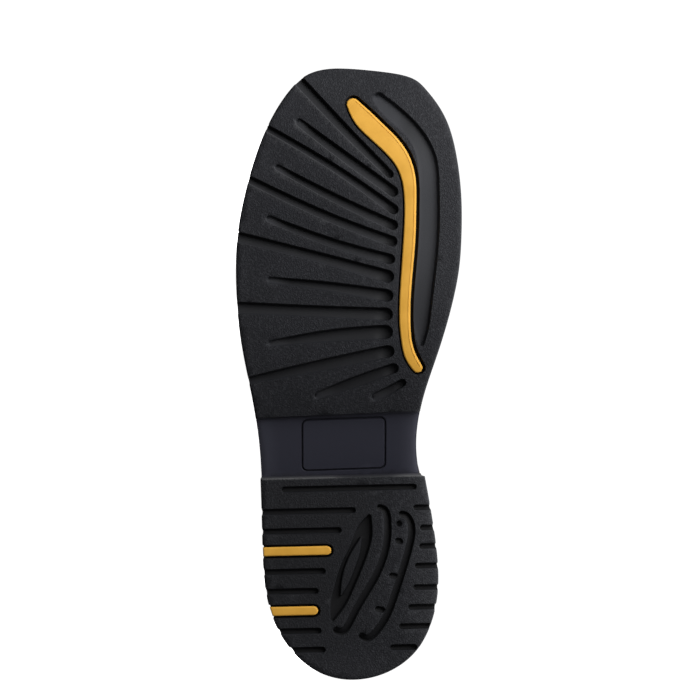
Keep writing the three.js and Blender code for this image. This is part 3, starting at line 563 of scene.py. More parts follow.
class Groove:
    """A groove with a steep wall on its right and a floor that rises to its left.

    fade makes it shallower at its start, and blunt keeps its floor deep at its closed end."""

    def __init__(self, band, deep, shallow, wall=GROOVE_WALL, far=FAR_WALL, lip=GROOVE_LIP, curve=1.1,
                 fade=False, blunt=False):
        self.band, self.deep, self.shallow = band, deep, shallow
        self.wall, self.far, self.lip, self.curve = wall, far, lip, curve
        self.fade, self.blunt = fade, blunt

    def contours(self):
        stops = [-self.lip, -0.3 * self.lip, *(share * self.wall for share in (0.33, 0.7, 1, 2))]
        return [self.band.ring(inset) for inset in stops]

    def near(self, points):
        reach = self.band.half.max() + 3 * self.lip
        low, high = self.band.middle.min(0) - reach, self.band.middle.max(0) + reach
        return np.all((points > low) & (points < high), axis=1)

    def lip_line(self, points):
        """How near each point lies to the groove's left edge."""
        found, near = np.zeros(len(points)), self.near(points)
        if near.any():
            _, left, _, inside = self.band.read(points[near])
            found[near] = np.exp(-((inside / LIP_LINE) ** 2)) * (left > 0)
        return found

    def depth(self, points):
        found, near = np.zeros(len(points)), self.near(points)
        if not near.any():
            return found
        along, left, half, inside = self.band.read(points[near])
        rise = np.clip((left + half) / (2 * half), 0, 1)
        shallow = self.shallow
        if self.blunt:
            end = self.band.at[-1]
            shallow = lerp(shallow, BLUNT_SHARE * self.deep, smooth(along, end - BLUNT_LENGTH, end))
        floor = shallow + (self.deep - shallow) * (1 - rise) ** self.curve
        if self.fade:
            floor *= lerp(FADE_SHARE, 1, smooth(along, 0, FADE_LENGTH))
        wall = np.where(left > 0, self.far, self.wall)
        found[near] = floor * smooth((inside + self.lip) / (wall + self.lip), 0, 1)
        return found


def shares(table, width=None):
    """Rows of x, y and width in millimetres from a table of shares."""
    wide = table["width"] * BALL_WIDTH if width is None else np.full(len(table["along"]), width)
    return np.stack([table["along"] * SOLE_LENGTH, table["across"] * BALL_WIDTH, wide], -1)


def heel_rows(along, start, end, width):
    across = np.array([start, end]) * BALL_WIDTH
    return np.stack([along * SOLE_LENGTH + HEEL_SLANT * across, across, np.full(2, width)], -1)


def forefoot_grooves():
    table = FOREFOOT_GROOVES
    for i, is_open in enumerate(table["open"]):
        rows = [
            (table["a" + k][i] * SOLE_LENGTH, table["c" + k][i] * BALL_WIDTH, table["w" + k][i] * BALL_WIDTH)
            for k in "012"
        ]
        band = Band(rows, open_start=bool(is_open))
        yield Groove(band, GROOVE_DEEP, GROOVE_SHALLOW, fade=not is_open, blunt=True)


def heel_grooves():
    for along, start, end in zip(*HEEL_GROOVES.values()):
        rows = heel_rows(along, start, end, HEEL_GROOVE_WIDTH)
        band = Band(rows, open_start=start <= -PAST_EDGE, open_end=end >= PAST_EDGE, spacing=2.5)
        yield Groove(band, HEEL_DEEP, HEEL_SHALLOW, wall=0.6, far=0.45, lip=0.3, curve=1.0)


def heel_bar_rows(along, end):
    edge = float(OUTER_HALF(math.acos(1 - 2 * along)))
    return heel_rows(along, -edge, end, BAR_WIDTH)


BAR_ROWS = [heel_bar_rows(along, end) for along, end in zip(*HEEL_BARS.values())]
POCKET_WALL = 0.3
STRIP_POCKET = Band(shares(STRIP), grow=INSERT_SIDE_GAP + POCKET_SHIFT, shift=POCKET_SHIFT)
BAR_POCKETS = [Band(rows, open_start=True, grow=INSERT_SIDE_GAP, spacing=2.5) for rows in BAR_ROWS]
POCKETS = [
    Groove(band, POCKET_DEPTH, POCKET_DEPTH, wall=POCKET_WALL, far=POCKET_WALL, lip=0.2)
    for band in [STRIP_POCKET, *BAR_POCKETS]
]
CHANNEL_GROOVE = Groove(
    Band(shares(CHANNEL)), CHANNEL_DEEP, CHANNEL_SHALLOW, wall=0.9, far=0.9, lip=0.4, curve=0.9)
PIT_GROOVE = Groove(Band(shares(PIT)), PIT_DEEP, 0.85 * PIT_DEEP, wall=0.8, far=0.6, lip=0.3)
LEAF_RISE = Groove(Band(shares(LEAF)), 1.0, 1.0, wall=0.7, far=0.7, lip=0.3)
TICK_ROWS = [
    [(a0 * SOLE_LENGTH, c0 * BALL_WIDTH, TICK_WIDTH), (a1 * SOLE_LENGTH, c1 * BALL_WIDTH, TICK_WIDTH)]
    for a0, c0, a1, c1 in zip(*TICKS.values())
]
FOREFOOT = list(forefoot_grooves())
GROOVES = [
    *FOREFOOT,
    *heel_grooves(),
    *POCKETS,
    *(Groove(Band(shares(arc, ARC_WIDTH), spacing=1.0, shift=ARC_SHIFT), ARC_DEEP, ARC_SHALLOW, curve=1.0)
      for arc in ARCS),
    *(Groove(Band(rows, spacing=1.0), TICK_DEEP, TICK_SHALLOW, wall=0.6, far=0.6, lip=0.3)
      for rows in TICK_ROWS),
]
OPEN_GROOVES = [groove for groove in GROOVES if groove.band.open_start or groove.band.open_end]


def breast_line(y):
    return HEEL_LENGTH + HEEL_SLANT * y


def step_line(y):
    return TREAD_BACK + 2 * HEEL_SLANT * y


def plate_distance(points):
    """Signed distance from the rounded outline of the bare plate on the shank."""
    beyond = points - PLATE_CENTRE
    beyond[:, 0] -= PLATE_SLANT * beyond[:, 1]
    beyond = np.abs(beyond) - PLATE_CORE
    outside = np.linalg.norm(np.maximum(beyond, 0), axis=1)
    return outside + np.minimum(beyond.max(1), 0) - PLATE_ROUND


def plate_ring(offset):
    """The outline of the bare plate, moved out by a distance."""
    turn = np.linspace(0, np.pi / 2, 7) + np.arange(4)[:, None] * np.pi / 2
    sign = np.array([(1, 1), (-1, 1), (-1, -1), (1, -1)])[:, None]
    corner = (PLATE_ROUND + offset) * np.stack([np.cos(turn), np.sin(turn)], -1)
    ring = (sign * PLATE_CORE + corner).reshape(-1, 2)
    ring[:, 0] += PLATE_SLANT * ring[:, 1]
    return ring + PLATE_CENTRE


def flare_at(points):
    """How far the heel's foot stands out from the plate, on the inner side only."""
    x, y = points.T
    flare = HEEL_FLARE * smooth(x, FLARE_START * HEEL_LENGTH, HEEL_LENGTH)
    return np.where((y > 0) & (x < breast_line(y)), flare, 0)


def notch_at(points):
    """How far in the edge of the walking face lies where a groove runs out through it."""
    depth = np.max([groove.depth(points) for groove in OPEN_GROOVES], axis=0)
    return NOTCH * np.minimum(1, depth / GROOVE_DEEP)


def sole_ring(inset=0.0):
    """The edge of the walking face, with its flare and its notches, moved in by a distance."""
    angle = even_angles(EDGE_SPACING)
    base = raw_edge(angle)
    return edge_at(angle, inset + notch_at(base) - flare_at(base))


SOLE_OUTLINE = sole_ring()


def nearest_edge(points):
    """Distance of each point from the outline of the walking face."""
    step = np.roll(SOLE_OUTLINE, -1, axis=0) - SOLE_OUTLINE
    distance = np.empty(len(points))
    for first in range(0, len(points), 2000):
        _, gap = nearest_on(points[first : first + 2000], SOLE_OUTLINE, step)
        distance[first : first + 2000] = np.sqrt((gap * gap).sum(-1).min(1))
    return distance


def painted_light_at(x, y, edge):
    """Painted light: lightest along the inner edge, then at the toe, the back of the heel and the rim."""
    forefoot = 0.78 * smooth(y, -14, 50) * smooth(x, 160, 220)
    toe = 0.4 * smooth(x, 280, 306) * (1 - smooth(y, 5, 40))
    heel = smooth(y, 24, 43) * (1 - smooth(x, 118, 160))
    back = 0.35 * (1 - smooth(x, 2, 18))
    rim = 0.2 * (1 - smooth(edge, 3, 11))
    return np.clip(np.max([forefoot, toe, heel, back, rim], axis=0), 0, 1)


def breast_highlight_at(x, y):
    """A thin painted highlight along the heel's front edge, faint behind the middle of the shank."""
    faint = smooth(y, -12, 0) * (1 - smooth(y, 20, 30))
    return np.exp(-(((x - breast_line(y) + 0.1) / 0.3) ** 2)) * (1 - 0.8 * faint)


def painted_shade_at(x, y, depth):
    """Painted shade: in the long channel, over the heel and in its grooves, and on the heel's front wall."""
    channel = 0.14 + 0.44 * smooth(x, 255, 292) + 0.24 * (1 - smooth(x, 188, 228))
    in_channel = smooth(y, 0.2 * BALL_WIDTH, 0.27 * BALL_WIDTH) * (x > 165) * smooth(depth, 0.05, 0.5)
    heel = 0.38 * (1 - smooth(x, 100, 103)) * (1 - smooth(y, 0, 30)) * smooth(x, 8, 36)
    grooves = HEEL_SHADE * (1 - smooth(x, 100, 103)) * smooth(depth, 0.2, 1.2)
    past = x - breast_line(y)
    front = 0.5 * smooth(past, 0, 0.1) * (1 - smooth(past, 0.3, 0.8))
    return np.max([channel * in_channel, heel, grooves, front], axis=0)


def walking_face(points):
    """Height of the sole's underside at flat points, and the numbers that the look of its rubber follows."""
    x, y = points.T
    breast, step = breast_line(y), step_line(y)
    edge = nearest_edge(points)
    shank = shank_at(x, y) + SHANK_DROP * (1 - smooth(edge, 0, SHANK_ROUND)) ** 2
    height = shank * smooth(x - breast, 0, BREAST_RUN)
    in_front = smooth(x - step, -STEP_RUN, 0)
    height = lerp(height, tread_at(x), in_front)
    on_shank = smooth(x - breast, 0, BREAST_RUN) * (1 - in_front)
    pit = PIT_GROOVE.depth(points) * (1 - 0.9 * LEAF_RISE.depth(points))
    cut = np.max([pit, *(groove.depth(points) for groove in GROOVES)], axis=0)
    line = PLATE_LINE_DEPTH * (1 - smooth(np.abs(plate_distance(points)), 0.3 * PLATE_LINE, PLATE_LINE))
    depth = np.max([cut, line, CHANNEL_GROOVE.depth(points)], axis=0)
    rounded = EDGE_ROUND * (1 - smooth(edge, 0, EDGE_ROUND)) * (1 - on_shank)
    # Painted highlight: a thin light line along the left lip of each forefoot groove and along the heel's
    # front edge
    lips = np.max([groove.lip_line(points) for groove in FOREFOOT], axis=0)
    lip_highlight = LIP_HIGHLIGHT * lips * smooth(x, 190, 270)
    breast_highlight = breast_highlight_at(x, y) * (1 - smooth(depth, 0.05, 0.3))
    looks = {
        "rough": (1 - smooth(depth, 0.05, 0.6)) * (1 - on_shank),
        "shank": on_shank,
        # low is painted shade: darker in deep grooves and the plate's outline, and in the channel, heel and
        # heel front
        "low": np.maximum(0.72 * smooth(cut + 2 * line, 0, 2.6), painted_shade_at(x, y, depth)),
        "painted_light": painted_light_at(x, y, edge),
        "painted_highlight": np.maximum(breast_highlight, lip_highlight),
    }
    return height + np.maximum(depth, rounded), looks


# Meshes
def grid_faces(rows, count, wrap=False, first=0):
    """Quads over rows of as many points each. wrap joins each row's ends."""
    last = count if wrap else count - 1
    return [
        (first + i * count + j, first + i * count + (j + 1) % count,
         first + (i + 1) * count + (j + 1) % count, first + (i + 1) * count + j)
        for i in range(rows - 1)
        for j in range(last)
    ]


def loop_faces(rows, count):
    """Quads over rows that are joined both ways round."""
    last = (rows - 1) * count
    seam = [(j, last + j, last + (j + 1) % count, (j + 1) % count) for j in range(count)]
    return grid_faces(rows, count, wrap=True) + seam


def sheet_faces(rows, wide):
    """Quads round a thin sheet whose rows run there and back, with strips of quads over its two ends."""
    last = (rows - 1) * wide
    faces = grid_faces(rows, wide, wrap=True)
    for j in range(wide // 2 - 1):
        faces.append((j, wide - 1 - j, wide - 2 - j, j + 1))
        faces.append((last + j, last + j + 1, last + wide - 2 - j, last + wide - 1 - j))
    return faces


def there_and_back(top, under):
    """Rows of a grid that run along one face and back along the other."""
    return np.concatenate([top, under[:, ::-1]], axis=1)


def inside_loop(points, loop):
    """Which flat points lie inside a closed loop."""
    start, end = loop, np.roll(loop, -1, axis=0)
    inside = np.zeros(len(points), bool)
    for first in range(0, len(points), 4000):
        x, y = points[first : first + 4000, :1], points[first : first + 4000, 1:]
        spans = (start[:, 1] > y) != (end[:, 1] > y)
        rise = np.where(end[:, 1] == start[:, 1], 1, end[:, 1] - start[:, 1])
        crossing = start[:, 0] + (y - start[:, 1]) * (end[:, 0] - start[:, 0]) / rise
        inside[first : first + 4000] = ((spans & (x < crossing)).sum(1) % 2) == 1
    return inside


def triangulate(loops, lines, loose, boundary):
    """Triangles inside a boundary loop that keep to all the given loops and lines."""
    points, edges = [], []
    for chain, closed in [*((c, True) for c in loops), *((c, False) for c in lines)]:
        first = len(points)
        points.extend(map(tuple, chain))
        edges.extend((first + i, first + i + 1) for i in range(len(chain) - 1))
        if closed:
            edges.append((len(points) - 1, first))
    points.extend(map(tuple, loose))
    flat, _, faces, *_ = delaunay_2d_cdt([Vector(p) for p in points], edges, [], 0, 1e-4, False)
    flat = np.array([tuple(p) for p in flat])
    faces = np.array([f for f in faces if len(f) == 3])
    faces = faces[inside_loop(flat[faces].mean(1), boundary)]
    used, index = np.unique(faces, return_inverse=True)
    return flat[used], index.reshape(-1, 3)


def boundary_loop(faces):
    """The vertices round the outside of a triangulated patch, in order."""
    edges = np.concatenate([faces[:, [0, 1]], faces[:, [1, 2]], faces[:, [2, 0]]])
    known = {tuple(e) for e in edges.tolist()}
    following = {a: b for a, b in known if (b, a) not in known}
    loop = [min(following)]
    while following[loop[-1]] != loop[0]:
        loop.append(following[loop[-1]])
    return np.array(loop)


def field_points(spacing, boundary, margin):
    """A staggered field of loose points inside a loop, for the stretches with no contours."""
    low, high = boundary.min(0), boundary.max(0)
    xs, ys = np.arange(low[0], high[0], spacing), np.arange(low[1], high[1], spacing)
    grid = np.array([(x + spacing / 2 * (j % 2), y) for j, y in enumerate(ys) for x in xs])
    grid = grid[inside_loop(grid, boundary)]
    return grid[nearest_edge(grid) > margin]


def make_piece(name, points, faces, material, stands_for=(), values=None, crisp=None, second=None):
    """A mesh piece on the boot. second is another material and which faces take it."""
    mesh = bpy.data.meshes.new(name)
    mesh.from_pydata(place(points).tolist(), [], [tuple(map(int, face)) for face in faces])
    for key, numbers in (values or {}).items():
        mesh.attributes.new(key, "FLOAT", "POINT").data.foreach_set(
            "value", np.full(len(points), numbers, np.float32))
    mesh.materials.append(material)
    if second is not None:
        mesh.materials.append(second[0])
        mesh.polygons.foreach_set("material_index", np.asarray(second[1], np.int32))
    shell = bmesh.new()
    shell.from_mesh(mesh)
    bmesh.ops.remove_doubles(shell, verts=shell.verts, dist=1e-6)
    bmesh.ops.recalc_face_normals(shell, faces=shell.faces)
    shell.to_mesh(mesh)
    shell.free()
    mesh.shade_smooth()
    if crisp is not None:
        mesh.set_sharp_from_angle(angle=math.radians(crisp))
    piece = bpy.data.objects.new(name, mesh)
    bpy.context.scene.collection.objects.link(piece)
    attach(piece, "root")
    if stands_for:
        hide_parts(*stands_for)


# Materials
def operator(kind, swapped=False):
    """An arithmetic operator of Value, which adds a Math node. swapped puts the other number first."""

    def apply(self, other):
        inputs = (other, self) if swapped else (self, other)
        return self.paint.math(kind, *inputs)

    return apply


class Value:
    """A number that changes over a surface. Arithmetic on it adds Math nodes."""

    __add__, __radd__ = operator("ADD"), operator("ADD", swapped=True)
    __sub__, __rsub__ = operator("SUBTRACT"), operator("SUBTRACT", swapped=True)
    __mul__, __rmul__ = operator("MULTIPLY"), operator("MULTIPLY", swapped=True)

    def __init__(self, paint, socket):
        self.paint, self.socket = paint, socket

    def between(self, low, high):
        """0 below low and 1 above high, with a soft step between them."""
        settings = {"interpolation_type": "SMOOTHSTEP", "clamp": True}
        sockets = {"Value": self, "From Min": low, "From Max": high}
        return self.paint.node("ShaderNodeMapRange", settings, sockets)


class Paint:
    """A material and its nodes. Uniform numbers go straight to the shader's own sockets."""

    def __init__(self, name, **uniform):
        self.material = bpy.data.materials.new(name)
        self.material.use_nodes = True
        self.tree = self.material.node_tree
        self.shader = self.tree.nodes["Principled BSDF"]
        for socket, value in uniform.items():
            self.shader.inputs[socket.replace("_", " ")].default_value = value
        self.place = self.node("ShaderNodeTexCoord", {}, {}, "Object")

    def node(self, kind, settings, sockets, out=0):
        made = self.tree.nodes.new(kind)
        for key, value in settings.items():
            setattr(made, key, value)
        for key, value in sockets.items():
            self.feed(made.inputs[key], value)
        return Value(self, made.outputs[out])

    def feed(self, socket, value):
        if isinstance(value, Value):
            self.tree.links.new(value.socket, socket)
        else:
            socket.default_value = value

    def noise(self, size, detail=3.0, rough=0.55):
        """Soft noise whose lumps are about as large as size, in millimetres."""
        sockets = {"Vector": self.place, "Scale": 1 / (size * MM), "Detail": detail, "Roughness": rough}
        return self.node("ShaderNodeTexNoise", {}, sockets, 0)

    def cells(self, size):
        """Distance from the middle of cells as large as size, in millimetres."""
        sockets = {"Vector": self.place, "Scale": 1 / (size * MM)}
        return self.node("ShaderNodeTexVoronoi", {"feature": "F1"}, sockets, "Distance")

    def value(self, attribute):
        return self.node("ShaderNodeAttribute", {"attribute_name": attribute}, {}, "Fac")

    def math(self, operation, *inputs):
        return self.node("ShaderNodeMath", {"operation": operation}, dict(enumerate(inputs)))

    def mix(self, share, one, other):
        """A colour between two, each of them a colour or a mix made before."""
        return self.node("ShaderNodeMix", {"data_type": "RGBA"}, {0: share, 6: one, 7: other}, 2)

    def clouded(self, size, detail, dark, light):
        """Soft noise, and a colour that drifts with it between two."""
        cloud = self.noise(size, detail)
        return cloud, self.mix(cloud.between(0.3, 0.7), dark, light)

    def finish(self, color, rough, height=None, reach=0.0):
        """Links the surface. height is its relief from 0 to 1, and reach that relief in millimetres."""
        self.feed(self.shader.inputs["Base Color"], color)
        self.feed(self.shader.inputs["Roughness"], rough)
        if height is not None:
            sockets = {"Height": height, "Distance": reach * MM, "Strength": 1.0}
            self.feed(self.shader.inputs["Normal"], self.node("ShaderNodeBump", {}, sockets, "Normal"))
        return self.material


def darker(color, share):
    return tuple(share * part for part in color[:3]) + (1,)


def rubber():
    """Matte black rubber: pebbled on the lands and the rim, smooth in the grooves and on the shank."""
    dark_grain, pale_speck = (0.008, 0.0083, 0.0105, 1), (0.09, 0.092, 0.1, 1)
    paint = Paint("black_rubber_matte", Specular_IOR_Level=0.3)
    rough, shank, painted_light = paint.value("rough"), paint.value("shank"), paint.value("painted_light")
    grain = paint.cells(0.7).between(0.1, 0.7)
    fine = paint.noise(0.5, 2.0)
    mottle = paint.noise(1.2, 2.0).between(0.38, 0.62)
    _, land = paint.clouded(14.0, 3.0, (0.0146, 0.0155, 0.0198, 1), (0.0196, 0.0207, 0.0262, 1))
    # Painted light: lighter along the inner edge, at the toe, the back of the heel and the rim
    land = paint.mix(painted_light, land, (0.046, 0.0475, 0.054, 1))
    land = paint.mix(rough * grain * 0.4, land, dark_grain)
    land = paint.mix(rough * mottle * 0.35, land, dark_grain)
    land = paint.mix(rough * paint.math("LESS_THAN", mottle, 0.1) * 0.12, land, pale_speck)
    # The bare plate takes the same painted light
    plate = paint.mix(painted_light, (0.0305, 0.0311, 0.0455, 1), (0.085, 0.086, 0.112, 1))
    color = paint.mix(shank, land, plate)
    # Painted shade in the grooves, the channel, the heel and on the heel's front wall
    color = paint.mix(paint.value("low"), color, (0.004, 0.0041, 0.005, 1))
    # Painted highlight on the heel's front edge and on the forefoot grooves' lips
    color = paint.mix(paint.value("painted_highlight") * 0.8, color, (0.15, 0.15, 0.155, 1))
    relief = rough * (1 - grain) * 0.8 + fine * 0.2
    return paint.finish(color, 0.68 - shank * 0.14 + rough * 0.08, relief, 0.2)


def yellow_rubber():
    paint = Paint("yellow_rubber_smooth", Specular_IOR_Level=0.35)
    cloud, color = paint.clouded(9.0, 3.0, (0.82, 0.42, 0.05, 1), (0.9, 0.475, 0.064, 1))
    speck = paint.noise(0.7, 2.0).between(0.72, 0.8)
    color = paint.mix(speck * 0.35, color, (0.3, 0.14, 0.03, 1))
    return paint.finish(color, 0.52 + 0.1 * cloud, paint.noise(0.6, 2.0), 0.05)


def leather(name, dark, light, grain_size, gloss, relief):
    """Oiled leather with a pebbled grain, darker along its cut edges, and painted shade in its creases."""
    paint = Paint(name, Specular_IOR_Level=0.4)
    grain = paint.cells(grain_size).between(0.05, 0.8)
    pores = paint.noise(0.35, 2.0)
    cloud, color = paint.clouded(38.0, 4.0, dark, light)
    color = paint.mix(grain * 0.3, color, darker(dark, 0.55))
    # Painted shade in the troughs of the creases
    color = paint.mix(paint.value("crease").between(0.15, 1.0) * 0.35, color, darker(dark, 0.5))
    color = paint.mix(paint.value("edge").between(0.2, 1.0) * 0.6, color, darker(dark, 0.35))
    rough = gloss + 0.14 * cloud + 0.06 * grain
    return paint.finish(color, rough, (1 - grain) * 0.8 + pores * 0.2, relief)


def lining():
    paint = Paint("lining_leather_natural", Specular_IOR_Level=0.3)
    cloud, color = paint.clouded(25.0, 4.0, (0.36, 0.235, 0.13, 1), (0.46, 0.31, 0.18, 1))
    return paint.finish(color, 0.8 + 0.1 * cloud, paint.noise(0.5, 3.0), 0.08)


def welt_leather():
    paint = Paint("welt_leather_waxed", Specular_IOR_Level=0.4)
    cloud, color = paint.clouded(12.0, 4.0, (0.19, 0.095, 0.042, 1), (0.27, 0.145, 0.068, 1))
    return paint.finish(color, 0.5 + 0.15 * cloud, paint.noise(0.45, 3.0), 0.08)


def webbing():
    """Woven tape: fine ribs along it, crossed by the weft, in its own width and length."""
    paint = Paint("strap_webbing_woven", Specular_IOR_Level=0.25)
    warp, weft = (
        paint.math("SINE", paint.value(way) * (2 * math.pi / pitch)) * 0.5 + 0.5
        for way, pitch in (("across", 1.5), ("along", 1.1))
    )
    weave = warp * weft + (1 - warp) * (1 - weft)
    color = paint.mix(weave, (0.026, 0.017, 0.012, 1), (0.075, 0.05, 0.036, 1))
    return paint.finish(color, 0.82 + 0.08 * weave, weave, 0.22)


def thread(name, color):
    paint = Paint(name, Specular_IOR_Level=0.3)
    twist = paint.noise(0.5, 2.0)
    color = paint.mix(twist.between(0.35, 0.65), darker(color, 0.55), color)
    return paint.finish(color, 0.7 + 0.1 * twist, twist, 0.05)


RUBBER = rubber()
YELLOW = yellow_rubber()
SHAFT_LEATHER = leather(
    "shaft_leather_oiled", (0.105, 0.045, 0.02, 1), (0.16, 0.074, 0.034, 1),
    grain_size=1.6, gloss=0.44, relief=0.2)
FOOT_LEATHER = leather(
    "foot_leather_oiled", (0.058, 0.025, 0.012, 1), (0.1, 0.045, 0.021, 1),
    grain_size=1.3, gloss=0.4, relief=0.18)
TRIM_LEATHER = leather(
    "trim_leather_satin", (0.034, 0.017, 0.01, 1), (0.052, 0.027, 0.016, 1),
    grain_size=0.9, gloss=0.42, relief=0.1)
LINING = lining()
WELT_LEATHER = welt_leather()
WEBBING = webbing()
PALE_THREAD = thread("stitching_pale", (0.5, 0.4, 0.24, 1))
DARK_THREAD = thread("stitching_brown", (0.12, 0.07, 0.035, 1))


# Sole
# Lines that keep the mesh true where the heel's breast and the step of the tread fall away
BREAST_OFFSETS = (-0.9, -0.45, -0.2, -0.05, 0.1, 0.2, 0.3, BREAST_RUN)
STEP_OFFSETS = (-STEP_RUN, -0.6, -0.3, 0)
# Looks of the sole's side and top, which the photo hides
# The side takes a quarter of the painted light and no painted shade or highlight
SIDE_LOOKS = {"rough": 1.0, "shank": 0.0, "low": 0.0, "painted_light": 0.25, "painted_highlight": 0.0}


def tread_lines():
    """Closed outlines and open lines that the mesh of the walking face keeps to."""
    forms = [*GROOVES, CHANNEL_GROOVE, PIT_GROOVE, LEAF_RISE]
    loops = [SOLE_OUTLINE, *(loop for form in forms for loop in form.contours())]
    loops += [plate_ring(offset) for offset in (-PLATE_LINE, -0.15, 0.15, PLATE_LINE)]
    loops += [sole_ring(share * EDGE_ROUND) for share in (0.25, 0.6, 1)]
    lines = [form.band.middle for form in (CHANNEL_GROOVE, PIT_GROOVE)]
    across = np.arange(-70, 71, 4.0)
    for line, offsets in ((breast_line, BREAST_OFFSETS), (step_line, STEP_OFFSETS)):
        lines += [np.stack([line(across) + offset, across], -1) for offset in offsets]
    return loops, lines


def shank_sides():
    """Loose points where the shank rounds off to its two sides."""
    for inset in (0.5 * SHANK_ROUND, SHANK_ROUND):
        ring = edge_at(even_angles(EDGE_SPACING), inset)
        yield ring[(ring[:, 0] > HEEL_LENGTH) & (ring[:, 0] < TREAD_BACK)]


def side_levels(foot):
    """Rings of the sole's side, from just above the edge of the walking face to the top."""
    flat = foot[:, :2]
    inward = turned(unit(np.roll(flat, -1, axis=0) - np.roll(flat, 1, axis=0)))
    if (inward * (flat.mean(0) - flat)).sum() < 0:
        inward = -inward
    back_in = flare_at(flat) - notch_at(flat)
    base, top = shank_at(*flat.T), seat_at(flat[:, 0])
    first = lerp(base, top, SIDE_STEPS["height"][0])
    for share in (0.08, 0.4, 0.75):
        yield np.column_stack([flat + inward * (share * back_in)[:, None], lerp(foot[:, 2], first, share)])
    for share, inset in zip(*SIDE_STEPS.values()):
        yield np.column_stack([flat + inward * (back_in + inset)[:, None], lerp(base, top, share)])


def make_outsole():
    loops, lines = tread_lines()
    loose = np.concatenate([field_points(FIELD_SPACING, SOLE_OUTLINE, 1.5), *shank_sides()])
    flat, faces = triangulate(loops, lines, loose, SOLE_OUTLINE)
    height, looks = walking_face(flat)
    face = np.column_stack([flat, height])
    loop = boundary_loop(faces)
    levels = list(side_levels(face[loop]))
    top_ring = levels[-1][:, :2]
    cap_flat, cap_faces = triangulate([top_ring], [], field_points(10.0, top_ring, 6.0), top_ring)
    cap = np.column_stack([cap_flat, seat_at(cap_flat[:, 0])])

    count, start = len(loop), len(face)
    wall_size = count * len(levels)
    joining = [(loop[j], loop[(j + 1) % count], start + (j + 1) % count, start + j) for j in range(count)]
    wall = grid_faces(len(levels), count, wrap=True, first=start)
    all_faces = [*map(tuple, faces), *joining, *wall, *map(tuple, cap_faces + start + wall_size)]
    hidden = np.ones(wall_size + len(cap))
    values = {key: np.r_[numbers, SIDE_LOOKS[key] * hidden] for key, numbers in looks.items()}
    points = np.concatenate([face, *levels, cap])
    make_piece("outsole_rubber", points, all_faces, RUBBER, ["outsole"], values, crisp=48)


# Each insert is a stack of its outline moved in step by step: how far in, and how high over the tread.
INSERT_STACK = columns("inset height", [
    (0.0, 3.2),
    (0.0, 0.6),
    (0.08, 0.32),
    (0.28, 0.12),
    (0.6, 0.02),
    (0.9, 0.0),
    (1.05, 0.0),
    (1.2, 0.0),
    (1.5, -0.03),
])
RIDGE_INSET = 1.05
RIDGE_HEIGHT = 0.22
BAR_END_GAP = 0.2
BAR_PAST_EDGE = 3.0


def outer_limit(x):
    """Where the sole's outer edge lies across, at a place along it."""
    return -BALL_WIDTH * OUTER_HALF(np.arccos(1 - 2 * x / SOLE_LENGTH))


def make_insert(name, node, band, ridge=False):
    """An insert that fills its pocket. ridge raises a fine line along its right side."""
    count, bend = len(band.middle), Band.END_STEPS - 1
    rings = []
    for inset, height in zip(*INSERT_STACK.values()):
        ring = band.ring(inset)
        if band.open_start:
            ring[:, 1] = np.maximum(ring[:, 1], outer_limit(ring[:, 0]) + BAR_END_GAP + inset)
        lift = np.full(len(ring), height)
        if ridge and inset == RIDGE_INSET:
            lift[count + bend : 2 * count + bend] -= RIDGE_HEIGHT
        floor = np.where(ring[:, 0] < HEEL_LENGTH, 0, tread_at(ring[:, 0]))
        rings.append(np.column_stack([ring, floor + lift]))
    size = len(rings[0])
    last = (len(rings) - 1) * size
    left, right = np.arange(count), np.arange(count)[::-1] + count + bend
    cap = [(left[i], left[i + 1], right[i + 1], right[i]) for i in range(count - 1)]
    cap.append((left[-1], *range(count, count + bend), right[-1]))
    if not band.open_start:
        cap.append((right[0], *range(2 * count + bend, size), left[0]))
    faces = grid_faces(len(rings), size, wrap=True)
    faces += [tuple(last + i for i in face) for face in cap]
    faces.append(tuple(range(size))[::-1])
    make_piece(name, np.concatenate(rings), faces, YELLOW, [node], crisp=40)


def make_inserts():
    make_insert("forefoot_insert_strip", "forefoot_insert", Band(shares(STRIP), spacing=1.5), ridge=True)
    for node, rows in zip(HEEL_BAR_NODES, BAR_ROWS):
        band = Band(rows, open_start=True, spacing=2.0, grow=-BAR_SLIM)
        keep = band.at >= -BAR_PAST_EDGE
        band.middle, band.half, band.ahead = band.middle[keep], band.half[keep], band.ahead[keep]
        make_insert(node + "_bar", node, band)


# Upper
RING = {key: Spline(np.arange(COLLAR_RING + 1), values) for key, values in UPPER_RINGS.items()}


def rise_of(up, x):
    low = lerp(seat_at(x) + GAP, INSTEP_HEIGHT, up)
    return np.where(up <= 1, low, lerp(INSTEP_HEIGHT, SHAFT_HEIGHT, up - 1))


